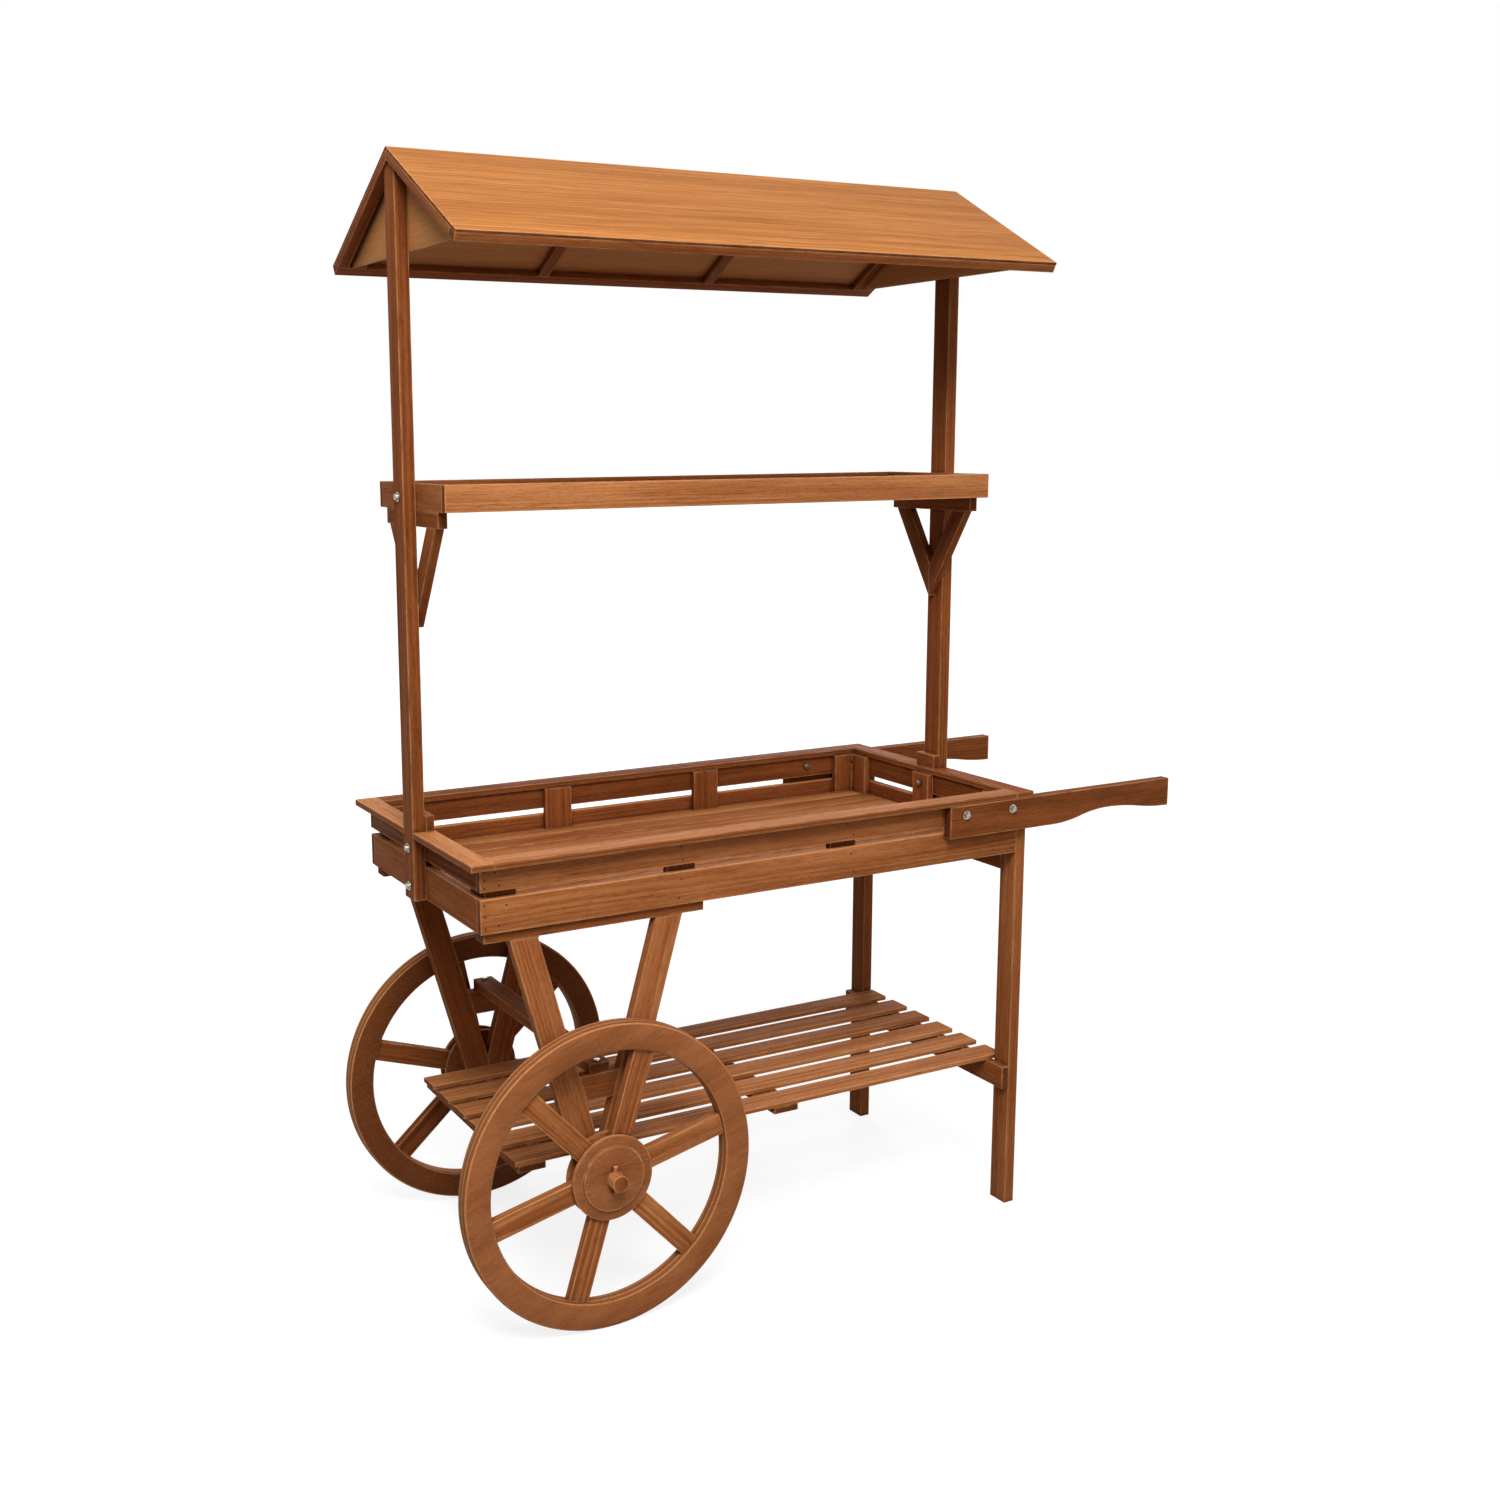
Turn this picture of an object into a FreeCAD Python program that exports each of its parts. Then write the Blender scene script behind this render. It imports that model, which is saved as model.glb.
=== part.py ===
import FreeCAD, Part
import math
import operator
import os
from types import SimpleNamespace

import Sketcher
from FreeCAD import Placement, Rotation, Vector

# A flower cart stand: a slatted tray on two wheels and two legs, with two handles, a low slatted
# shelf, and two posts that carry a raised planter shelf and a small pitched roof.
# X runs along the cart from the wheel end to the handle end, Y across it, Z up from the floor.
# The origin is on the floor, under the middle of the whole cart.

# Every size is in millimetres.
SIZES = {
    # Tray
    "tray_length": 1028,
    "tray_width": 506,
    "tray_top": 749,
    "rim_width": 36,
    "rim_thick": 10,
    "rim_overhang": 18,
    "board_thick": 12,
    "upper_board_height": 36,
    "board_gap": 11,
    "lower_board_height": 52,
    "batten_width": 50,
    "batten_thick": 12,
    "batten_pitch": 300,
    "end_batten_width": 40,
    "post_batten_width": 44,
    "floor_depth": 82,
    "floor_slat_width": 44,
    "floor_slat_thick": 10,
    "floor_bearer_width": 40,
    "floor_bearer_inset": 40,
    # Posts, legs and rails
    "upright_thick": 20,
    "post_width": 40,
    "cleat_width": 50,
    "cleat_thick": 14,
    "cleat_height": 25,
    "leg_width": 38,
    "top_rail_height": 38,
    "low_rail_thick": 14,
    "low_rail_height": 40,
    # Low shelf
    "shelf_slat_start": 85,
    "shelf_slat_width": 45,
    "shelf_side_gap": 4,
    "shelf_slat_thick": 8,
    "shelf_bearer_width": 46,
    "shelf_bearer_thick": 11,
    "shelf_bearer_inset": 5,
    "shelf_bearer_middle": 550,
    # Wheels and axle
    "wheel_radius": 242,
    "wheel_gap": 16,
    "wheel_thick": 26,
    "wheel_rim_width": 43,
    "wheel_rim_chamfer": 2.5,
    "spoke_width": 34,
    "spoke_thick": 15,
    "hub_radius": 67,
    "hub_cap_radius": 51,
    "hub_cap_thick": 4,
    "hub_core_margin": 2,
    "hub_boss_radius": 25,
    "axle_start": 212,
    "axle_radius": 13,
    "axle_stub": 26,
    "axle_play": 0.05,
    "wheel_side_play": 0.5,
    "peg_radius": 3.5,
    "peg_length": 44,
    "rest_gap": 0.2,
    # Wheel frames
    "beam_inset": 7,
    "beam_length": 367,
    "beam_width": 30,
    "beam_height": 16,
    "strut_leg_thick": 18,
    "strut_leg_width": 45.6,
    "strut_leg_spread": 121.5,
    "strut_leg_foot_spread": 14,
    "strut_leg_toe": 28,
    "cross_bar_top": 394,
    "cross_bar_height": 41,
    "stretcher_width": 34,
    "stretcher_thick": 17,
    # Handles
    "handle_reach": 312,
    "handle_overlap": 176,
    "handle_height": 54,
    "handle_waist_height": 37,
    "handle_end_height": 49,
    "handle_neck_start": 44,
    "handle_waist": 170,
    "handle_bolt_near": 46,
    "handle_bolt_far": 144,
    "handle_bolt_drop": 16,
    # Raised shelf and its brackets
    "planter_width": 275,
    "planter_height": 40,
    "planter_top": 1279,
    "planter_board_thick": 12,
    "planter_floor_thick": 6,
    "bracket_length": 216,
    "bracket_height": 24,
    "bracket_thick": 15,
    "brace_spread": 78,
    "brace_drop": 125,
    "brace_width": 36,
    # Roof
    "roof_height": 1760,
    "roof_width": 520,
    "roof_rise": 144,
    "roof_overhang": 4,
    "roof_panel_thick": 4,
    "roof_batten_depth": 13,
    "eave_batten_width": 20,
    "rafter_width": 18,
    "ridge_beam_width": 24,
    "gable_panel_thick": 4,
    "post_crown_width": 16,
    # Fasteners
    "bolt_radius": 3,
    "bolt_play": 0.1,
    "bolt_head_radius": 5,
    "bolt_head_height": 4,
    "washer_radius": 7.5,
    "washer_thick": 1.5,
    "nut_radius": 5.8,
    "nut_height": 5,
    "bolt_tail": 2,
    "nut_clearance": 1,
    "leg_bolt_inset": 19,
    "low_bolt_rise": 21,
    "screw_radius": 2,
    "screw_head_radius": 5,
    "screw_head_height": 2.5,
    "screw_length": 30,
}

SPOKES = 6
SPOKE_START_DEGREES = {"front": 13, "rear": 42}
FLOOR_SLATS = 9
FLOOR_BEARERS = 4
SHELF_SLATS = 6
RAFTER_BAYS = 3
SIDES = {"front": -1, "rear": 1}
ENDS = {"wheel_end": -1, "handle_end": 1}
TURNED_TO = {
    "X": Rotation(Vector(0, 1, 0), 90),
    "Y": Rotation(Vector(1, 0, 0), -90),
    "Z": Rotation(),
}
WORK = {"+": operator.add, "-": operator.sub, "*": operator.mul, "/": operator.truediv}


# ---------------------------------------------------------------- sizes

class Size:
    """A length that carries both its value and the expression that gives it."""

    def __init__(self, value, text):
        self.value = value
        self.text = text

    def __add__(self, other):
        return worked(self, "+", other)

    def __radd__(self, other):
        return worked(other, "+", self)

    def __sub__(self, other):
        return worked(self, "-", other)

    def __rsub__(self, other):
        return worked(other, "-", self)

    def __mul__(self, other):
        return worked(self, "*", other)

    def __rmul__(self, other):
        return worked(other, "*", self)

    def __truediv__(self, other):
        return worked(self, "/", other)

    def __neg__(self):
        return worked(0, "-", self)


def as_size(number):
    """Take a plain number as a size of its own."""
    return number if isinstance(number, Size) else Size(number, f"({number})")


def worked(left, sign, right):
    """Join two sizes by a sum, a difference, a product or a quotient."""
    left, right = as_size(left), as_size(right)
    return Size(WORK[sign](left.value, right.value), f"({left.text} {sign} {right.text})")


def diagonal(side, other):
    """The long side of a right-angled triangle."""
    square = side * side + other * other
    return Size(math.sqrt(square.value), f"sqrt({square.text})")


def fill_sheet(sheet):
    """Write each size in a cell of its own, under its own name."""
    for row, (name, number) in enumerate(SIZES.items(), 1):
        sheet.set(f"A{row}", name)
        sheet.set(f"B{row}", str(number))
        sheet.setAlias(f"B{row}", name)


doc = FreeCAD.newDocument("flower_cart_stand")
fill_sheet(doc.addObject("Spreadsheet::Sheet", "Sizes"))
doc.recompute()
s = SimpleNamespace(**{name: Size(number, f"Sizes.{name}") for name, number in SIZES.items()})
nodes = []


# ---------------------------------------------------------------- pieces

def bind(piece, name, size):
    """Tie one measure of a piece to its size."""
    piece.setExpression(name, as_size(size).text)


def place(piece, spot):
    """Tie the place of a piece to three sizes."""
    for axis, size in zip("xyz", spot):
        bind(piece, f"Placement.Base.{axis}", size)


def node(piece):
    """Keep a finished piece as a sub-part of the cart."""
    nodes.append(piece)
    return piece


def timber(name, low, lengths):
    """A square-edged timber, from its low corner and its three lengths."""
    piece = doc.addObject("Part::Box", name)
    for side, length in zip(("Length", "Width", "Height"), lengths):
        bind(piece, side, length)
    place(piece, low)
    return piece


def rod(name, axis, low, radius, length):
    """A round rod along one axis, from the middle of its low end."""
    piece = doc.addObject("Part::Cylinder", name)
    piece.Placement = Placement(Vector(), TURNED_TO[axis])
    bind(piece, "Radius", radius)
    bind(piece, "Height", length)
    place(piece, low)
    return piece


def together(kind, name, pieces):
    """Group pieces as separate solids, or fuse them into one."""
    whole = doc.addObject(kind, name)
    if kind == "Part::Compound":
        whole.Links = pieces
    else:
        whole.Shapes = pieces
    return whole


def group(name, pieces):
    return together("Part::Compound", name, pieces)


def fuse(name, pieces):
    return together("Part::MultiFuse", name, pieces)


def cut(name, blank, tools):
    """Take holes or notches out of a blank."""
    piece = doc.addObject("Part::Cut", name)
    piece.Base = blank
    piece.Tool = tools[0] if len(tools) == 1 else group(f"{name}_tools", tools)
    return piece


def sketched(body, plane, corners, arcs):
    """Draw a closed outline with each corner at its own size, and arcs where they are asked for."""
    sketch = body.newObject("Sketcher::SketchObject", f"{body.Name}_outline")
    support = next(part for part in body.Origin.OriginFeatures if part.Role == plane)
    sketch.AttachmentSupport = [(support, "")]
    sketch.MapMode = "FlatFace"
    corners = [(as_size(across), as_size(up)) for across, up in corners]
    spots = [Vector(across.value, up.value, 0) for across, up in corners]
    starts = []
    for index, spot in enumerate(spots):
        after = spots[(index + 1) % len(spots)]
        if index in arcs:
            starts.append(draw_arc(sketch, index, spot, after, arcs[index]))
        else:
            sketch.addGeometry(Part.LineSegment(spot, after), False)
            starts.append((1, 2))
    for index, (first, _) in enumerate(starts):
        last_edge = (index - 1) % len(starts)
        last = starts[last_edge][1]
        sketch.addConstraint(Sketcher.Constraint("Coincident", last_edge, last, index, first))
        fix_point(sketch, index, first, corners[index])
    for index, arc in arcs.items():
        fix(sketch, "DistanceX", index, 3, arc.centre)
    return sketch


def draw_arc(sketch, index, spot, after, arc):
    """Draw an arc between two points, round a centre whose place across is given."""
    across = as_size(arc.centre).value
    middle, half = (spot + after) / 2, after - spot
    up = middle.y + (middle.x - across) * half.x / half.y
    centre = Vector(across, up, 0)
    radius = (spot - centre).Length
    ends = [math.atan2(point.y - up, point.x - across) for point in (spot, after)]
    if arc.turns_left:
        first, last, order = ends[0], ends[1], (1, 2)
    else:
        first, last, order = ends[1], ends[0], (2, 1)
    circle = Part.Circle(centre, Vector(0, 0, 1), radius)
    sketch.addGeometry(Part.ArcOfCircle(circle, first, last), False)
    return order


def fix(sketch, kind, edge, point, size):
    """Set how far one point of an edge lies from the sketch's origin."""
    size = as_size(size)
    index = sketch.addConstraint(Sketcher.Constraint(kind, -1, 1, edge, point, size.value))
    sketch.setExpression(f"Constraints[{index}]", size.text)


def fix_point(sketch, edge, point, corner):
    fix(sketch, "DistanceX", edge, point, corner[0])
    fix(sketch, "DistanceY", edge, point, corner[1])


def shaped(name, plane, corners, start, depth, arcs=None):
    """A flat piece cut to an outline: along Y from an XZ outline, along X from a YZ outline."""
    body = doc.addObject("PartDesign::Body", name)
    pad = body.newObject("PartDesign::Pad", f"{name}_pad")
    pad.Profile = sketched(body, plane, corners, arcs or {})
    bind(pad, "Length", depth)
    if plane == "XZ_Plane":
        bind(body, "Placement.Base.y", start + depth)
    else:
        bind(body, "Placement.Base.x", start)
    return body


def turned(name, outline, centre):
    """A turned piece round the Y axis, from an outline of radius and place along the axis."""
    body = doc.addObject("PartDesign::Body", name)
    spin = body.newObject("PartDesign::Revolution", f"{name}_turning")
    sketch = sketched(body, "XY_Plane", outline, {})
    spin.Profile = sketch
    spin.ReferenceAxis = (sketch, ["V_Axis"])
    spin.Angle = 360
    place(body, centre)
    return body


# ---------------------------------------------------------------- places

wheel_lead = s.wheel_radius - s.axle_start
overall_length = wheel_lead + s.tray_length + s.handle_reach
tray_start = wheel_lead - overall_length / 2
tray_end = tray_start + s.tray_length
half_width = s.tray_width / 2
rim_bottom = s.tray_top - s.rim_thick
upper_bottom = rim_bottom - s.upper_board_height
lower_top = upper_bottom - s.board_gap
lower_bottom = lower_top - s.lower_board_height
side_face = half_width - s.rim_overhang
side_inner = side_face - s.board_thick
floor_top = s.tray_top - s.floor_depth
floor_bottom = floor_top - s.floor_slat_thick
boards_length = s.tray_length - 2 * s.upright_thick
inner_length = boards_length - 2 * s.board_thick
inner_start = tray_start + s.upright_thick + s.board_thick
axle_x = tray_start + s.axle_start
slat_bottom = s.wheel_radius + s.axle_radius + s.rest_gap
beam_face = side_face - s.beam_inset
wheel_middle = beam_face + s.wheel_gap + s.wheel_thick / 2
wheel_face = wheel_middle + s.wheel_thick / 2
axle_end = wheel_face + s.axle_stub
beam_bottom = lower_bottom - s.beam_height
strut_lean = (s.strut_leg_spread - s.strut_leg_foot_spread) / (beam_bottom - s.wheel_radius)
planter_bottom = s.planter_top - s.planter_height
bolt_hole = s.bolt_radius + s.bolt_play
roof_half = s.roof_width / 2
roof_slope = diagonal(roof_half, s.roof_rise)
batten_bottom = s.roof_panel_thick + s.roof_batten_depth
roof_start = tray_start - s.roof_overhang
roof_length = s.tray_length + 2 * s.roof_overhang
upper_bolt_z = rim_bottom - s.upper_board_height / 2
lower_bolt_z = lower_bottom + s.low_bolt_rise
planter_bolt_z = s.planter_top - s.planter_height / 2


def at_end(end, offset, depth):
    """Low X of a piece that starts a distance inside one end of the tray."""
    return tray_start + offset if end == "wheel_end" else tray_end - offset - depth


def at_side(side, offset, width):
    """Low Y of a piece whose outer face lies a distance from the middle of the cart."""
    return -offset if side == "front" else offset - width


def centred(width):
    """Low Y of a piece that lies across the middle of the cart."""
    return -width / 2


# ---------------------------------------------------------------- fasteners

def along(axis, centre, low):
    """A point on a line parallel to an axis: two places across it, and one along it."""
    spot = list(centre)
    spot.insert("XYZ".index(axis), low)
    return spot


def bolt(name, axis, outward, centre, face, grip, nut=True):
    """A round-headed bolt with its washer, and its bore: the bolt grips inwards from a face."""
    head_low = face + s.washer_thick if outward > 0 else face - s.washer_thick - s.bolt_head_height
    washer_low = face if outward > 0 else face - s.washer_thick
    reach = grip + s.nut_height + s.bolt_tail if nut else grip - s.bolt_tail
    shank_low = face - reach if outward > 0 else face
    pieces = [
        rod(f"{name}_head", axis, along(axis, centre, head_low), s.bolt_head_radius, s.bolt_head_height),
        rod(f"{name}_washer", axis, along(axis, centre, washer_low), s.washer_radius, s.washer_thick),
        rod(f"{name}_shank", axis, along(axis, centre, shank_low), s.bolt_radius, reach),
    ]
    if nut:
        pieces.append(hex_nut(name, axis, outward, centre, face, grip))
    bore_low = face - grip if outward > 0 else face
    bore = rod(f"{name}_bore", axis, along(axis, centre, bore_low), bolt_hole, grip)
    return fuse(name, pieces), bore


def hex_nut(name, axis, outward, centre, face, grip):
    """A six-sided nut against the far side of what its bolt grips."""
    nut = doc.addObject("Part::Prism", f"{name}_nut")
    nut.Polygon = 6
    nut.Placement = Placement(Vector(), TURNED_TO[axis])
    bind(nut, "Circumradius", s.nut_radius)
    bind(nut, "Height", s.nut_height)
    low = face - grip - s.nut_height if outward > 0 else face + grip
    place(nut, along(axis, centre, low))
    return nut


def post_bolts(end):
    """Two bolts through a post, the end boards and the batten, and one into the raised shelf."""
    outward = ENDS[end]
    face = tray_start if outward < 0 else tray_end
    tray_grip = s.upright_thick + s.board_thick + s.batten_thick
    shelf_grip = s.upright_thick + s.planter_board_thick
    return {
        "upper": bolt(f"{end}_upper_bolt", "X", outward, (0, upper_bolt_z), face, tray_grip),
        "lower": bolt(f"{end}_lower_bolt", "X", outward, (0, lower_bolt_z), face, tray_grip),
        "shelf": bolt(f"{end}_shelf_bolt", "X", outward, (0, planter_bolt_z), face, shelf_grip),
    }


def leg_bolts(side):
    """Two bolts that hold a leg to the end boards."""
    y = (side_face - s.leg_bolt_inset) * SIDES[side]
    grip = s.upright_thick + s.board_thick
    return {
        "upper": bolt(f"{side}_leg_upper_bolt", "X", 1, (y, upper_bolt_z), tray_end, grip, nut=False),
        "lower": bolt(f"{side}_leg_lower_bolt", "X", 1, (y, lower_bolt_z), tray_end, grip, nut=False),
    }


def handle_bolts(side):
    """One bolt through a handle and its board, and one that ends in the corner batten."""
    outward = SIDES[side]
    face = half_width * outward
    z = rim_bottom - s.handle_bolt_drop
    grip = s.rim_overhang + s.board_thick
    far = (tray_end - s.handle_bolt_far, z)
    near = (tray_end - s.handle_bolt_near, z)
    return {
        "far": bolt(f"{side}_handle_far_bolt", "Y", outward, far, face, grip),
        "near": bolt(f"{side}_handle_near_bolt", "Y", outward, near, face, grip + s.batten_thick, nut=False),
    }


def stretcher_screw(side):
    """A screw down through the end of the stretcher into a cross bar."""
    y = (beam_face - s.strut_leg_thick / 2) * SIDES[side]
    top = s.cross_bar_top + s.stretcher_thick
    name = f"{side}_stretcher_screw"
    head = rod(f"{name}_head", "Z", (axle_x, y, top), s.screw_head_radius, s.screw_head_height)
    shank_low = top - s.screw_length
    shank = rod(f"{name}_shank", "Z", (axle_x, y, shank_low), s.screw_radius, s.screw_length)
    hole = s.screw_radius + s.bolt_play
    bore = rod(f"{name}_bore", "Z", (axle_x, y, shank_low), hole, s.screw_length)
    return fuse(name, [head, shank]), bore


# ---------------------------------------------------------------- tray

def tray_rim(post_blanks):
    """The flat rim: two end strips notched round the posts, and two side strips between them."""
    for end in ENDS:
        low = (at_end(end, 0, s.rim_width), -half_width, rim_bottom)
        blank = timber(f"rim_{end}_blank", low, (s.rim_width, s.tray_width, s.rim_thick))
        node(cut(f"tray_rim_{end}", blank, [post_blanks[end]]))
    strip = (s.tray_length - 2 * s.rim_width, s.rim_width, s.rim_thick)
    for side in SIDES:
        low = (tray_start + s.rim_width, at_side(side, half_width, s.rim_width), rim_bottom)
        node(timber(f"tray_rim_{side}", low, strip))


def tray_boards(bolts):
    """An upper and a lower board round the tray: the side boards cover the ends of the end boards."""
    rows = {
        "upper": (upper_bottom, s.upper_board_height),
        "lower": (lower_bottom, s.lower_board_height),
    }
    for row, (bottom, height) in rows.items():
        for side in SIDES:
            low = (tray_start + s.upright_thick, at_side(side, side_face, s.board_thick), bottom)
            size = (boards_length, s.board_thick, height)
            name = f"tray_{row}_board_{side}"
            if row == "upper":
                blank = timber(f"{name}_blank", low, size)
                bores = [bore for _, bore in bolts[f"{side}_handle"].values()]
                node(cut(name, blank, bores))
            else:
                node(timber(name, low, size))
        for end in ENDS:
            low = (at_end(end, s.upright_thick, s.board_thick), -side_inner, bottom)
            name = f"tray_{row}_board_{end}"
            blank = timber(f"{name}_blank", low, (s.board_thick, 2 * side_inner, height))
            bores = [bolts[f"{end}_post"][row][1]]
            if end == "handle_end":
                bores += [bolts[f"{side}_leg"][row][1] for side in SIDES]
            node(cut(name, blank, bores))


def tray_battens(bolts):
    """Upright battens inside the boards: four on each side, two corners and one post batten on each end."""
    pieces = []
    height = rim_bottom - floor_top
    last_start = inner_start + inner_length - s.batten_width
    starts = [inner_start, inner_start + s.batten_pitch, inner_start + 2 * s.batten_pitch, last_start]
    for side in SIDES:
        y = at_side(side, side_inner, s.batten_thick)
        for index, x in enumerate(starts):
            name = f"side_batten_{side}_{index + 1}"
            batten = timber(name, (x, y, floor_top), (s.batten_width, s.batten_thick, height))
            if x is last_start:
                batten = cut(f"{name}_bored", batten, [bolts[f"{side}_handle"]["near"][1]])
            pieces.append(batten)
    corner_face = side_inner - s.batten_thick
    for end in ENDS:
        x = at_end(end, s.upright_thick + s.board_thick, s.batten_thick)
        for side in SIDES:
            y = at_side(side, corner_face, s.end_batten_width)
            size = (s.batten_thick, s.end_batten_width, height)
            pieces.append(timber(f"corner_batten_{end}_{side}", (x, y, floor_top), size))
        size = (s.batten_thick, s.post_batten_width, rim_bottom - lower_bottom)
        blank = timber(f"post_batten_{end}_blank", (x, centred(s.post_batten_width), lower_bottom), size)
        post = bolts[f"{end}_post"]
        pieces.append(cut(f"post_batten_{end}", blank, [post["upper"][1], post["lower"][1]]))
    node(group("tray_battens", pieces))


def tray_floor():
    """Slats along the tray on bearers across it; the middle slat stops short of the lower nuts."""
    slats = []
    nut_room = s.batten_thick + s.nut_height + s.bolt_tail + s.nut_clearance
    pitch = (2 * side_inner - s.floor_slat_width) / (FLOOR_SLATS - 1)
    for index in range(FLOOR_SLATS):
        short = nut_room if index == FLOOR_SLATS // 2 else as_size(0)
        low = (inner_start + short, index * pitch - side_inner, floor_bottom)
        size = (inner_length - 2 * short, s.floor_slat_width, s.floor_slat_thick)
        slats.append(timber(f"floor_slat_{index + 1}", low, size))
    node(group("tray_floor_slats", slats))
    bearers = []
    room = inner_length - 2 * s.floor_bearer_inset - s.floor_bearer_width
    for index in range(FLOOR_BEARERS):
        x = inner_start + s.floor_bearer_inset + index * room / (FLOOR_BEARERS - 1)
        size = (s.floor_bearer_width, 2 * side_inner, floor_bottom - lower_bottom)
        bearers.append(timber(f"floor_bearer_{index + 1}", (x, -side_inner, lower_bottom), size))
    node(group("tray_floor_bearers", bearers))


def handle_outline():
    """A straight top edge, a deep root and end, and a waist to grip between two easy curves."""
    root = tray_end - s.handle_overlap
    neck = tray_end + s.handle_neck_start
    waist = tray_end + s.handle_waist
    tip = tray_end + s.handle_reach
    low = rim_bottom - s.handle_height
    waist_low = rim_bottom - s.handle_waist_height
    end_low = rim_bottom - s.handle_end_height
    corners = [
        (tip, rim_bottom),
        (root, rim_bottom),
        (root, low),
        (neck, low),
        ((neck + waist) / 2, (low + waist_low) / 2),
        (waist, waist_low),
        ((waist + tip) / 2, (waist_low + end_low) / 2),
        (tip, end_low),
    ]
    arcs = {
        3: SimpleNamespace(centre=neck, turns_left=True),
        4: SimpleNamespace(centre=waist, turns_left=False),
        5: SimpleNamespace(centre=waist, turns_left=False),
        6: SimpleNamespace(centre=tip, turns_left=True),
    }
    return corners, arcs


def handles(bolts):
    corners, arcs = handle_outline()
    for side in SIDES:
        start = at_side(side, half_width, s.rim_overhang)
        blank = shaped(f"handle_{side}_blank", "XZ_Plane", corners, start, s.rim_overhang, arcs)
        node(cut(f"handle_{side}", blank, [bore for _, bore in bolts[f"{side}_handle"].values()]))


# ---------------------------------------------------------------- wheel frames

def strut_leg_edge(offset, z):
    """How far an edge of a strut lies from the axle at a height; offset is its half width."""
    return s.strut_leg_foot_spread + offset + strut_lean * (z - s.wheel_radius)


def strut_leg_outline(way):
    """A leaning leg, cut off upright where it meets its twin over the axle."""
    half = s.strut_leg_width / 2
    meeting = s.wheel_radius + (half - s.strut_leg_foot_spread) / strut_lean
    toe = s.wheel_radius - s.strut_leg_toe
    return [
        (axle_x + way * strut_leg_edge(half, beam_bottom), beam_bottom),
        (axle_x + way * strut_leg_edge(-half, beam_bottom), beam_bottom),
        (axle_x, meeting),
        (axle_x, toe),
        (axle_x + way * strut_leg_edge(half, toe), toe),
    ]


def wheel_frames(screws):
    """On each side a beam under the tray, two leaning legs to the axle and a short bar between them."""
    half = s.strut_leg_width / 2
    hole_radius = s.axle_radius + s.axle_play
    hole = rod("axle_hole", "Y", (axle_x, -axle_end, s.wheel_radius), hole_radius, 2 * axle_end)
    bar_bottom = s.cross_bar_top - s.cross_bar_height
    bar = [
        (axle_x - strut_leg_edge(-half, s.cross_bar_top), s.cross_bar_top),
        (axle_x + strut_leg_edge(-half, s.cross_bar_top), s.cross_bar_top),
        (axle_x + strut_leg_edge(-half, bar_bottom), bar_bottom),
        (axle_x - strut_leg_edge(-half, bar_bottom), bar_bottom),
    ]
    for side in SIDES:
        beam_x = tray_start + s.upright_thick + s.beam_inset
        low = (beam_x, at_side(side, beam_face, s.beam_width), beam_bottom)
        node(timber(f"side_beam_{side}", low, (s.beam_length, s.beam_width, s.beam_height)))
        start = at_side(side, beam_face, s.strut_leg_thick)
        for end, way in ENDS.items():
            name = f"axle_strut_{side}_{end}"
            blank = shaped(f"{name}_blank", "XZ_Plane", strut_leg_outline(way), start, s.strut_leg_thick)
            node(cut(name, blank, [hole]))
        name = f"axle_cross_bar_{side}"
        blank = shaped(f"{name}_blank", "XZ_Plane", bar, start, s.strut_leg_thick)
        node(cut(name, blank, [screws[side][1]]))
    low = (axle_x - s.stretcher_width / 2, -beam_face, s.cross_bar_top)
    blank = timber("axle_stretcher_blank", low, (s.stretcher_width, 2 * beam_face, s.stretcher_thick))
    node(cut("axle_stretcher", blank, [screws[side][1] for side in SIDES]))


# ---------------------------------------------------------------- wheels

def peg_places():
    """Each peg stands just outside its hub cap."""
    reach = wheel_face + s.hub_cap_thick + s.wheel_side_play + s.peg_radius
    return {side: reach * way for side, way in SIDES.items()}


def axle_and_pegs():
    """A fixed wooden axle with an upright peg through each end to hold the wheel on."""
    low = s.wheel_radius - s.peg_length / 2
    pegs = []
    holes = []
    for side, y in peg_places().items():
        pegs.append(rod(f"peg_{side}", "Z", (axle_x, y, low), s.peg_radius, s.peg_length))
        hole_radius = s.peg_radius + s.axle_play
        holes.append(rod(f"peg_hole_{side}", "Z", (axle_x, y, low), hole_radius, s.peg_length))
    blank = rod("axle_blank", "Y", (axle_x, -axle_end, s.wheel_radius), s.axle_radius, 2 * axle_end)
    node(cut("axle", blank, holes))
    node(group("axle_pegs", pegs))


def wheel_rim(side, centre):
    outer = s.wheel_radius
    inner = s.wheel_radius - s.wheel_rim_width
    half = s.wheel_thick / 2
    slant = s.wheel_rim_chamfer
    outline = [
        (inner + slant, -half),
        (outer - slant, -half),
        (outer, slant - half),
        (outer, half - slant),
        (outer - slant, half),
        (inner + slant, half),
        (inner, half - slant),
        (inner, slant - half),
    ]
    node(turned(f"wheel_rim_{side}", outline, centre))


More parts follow.
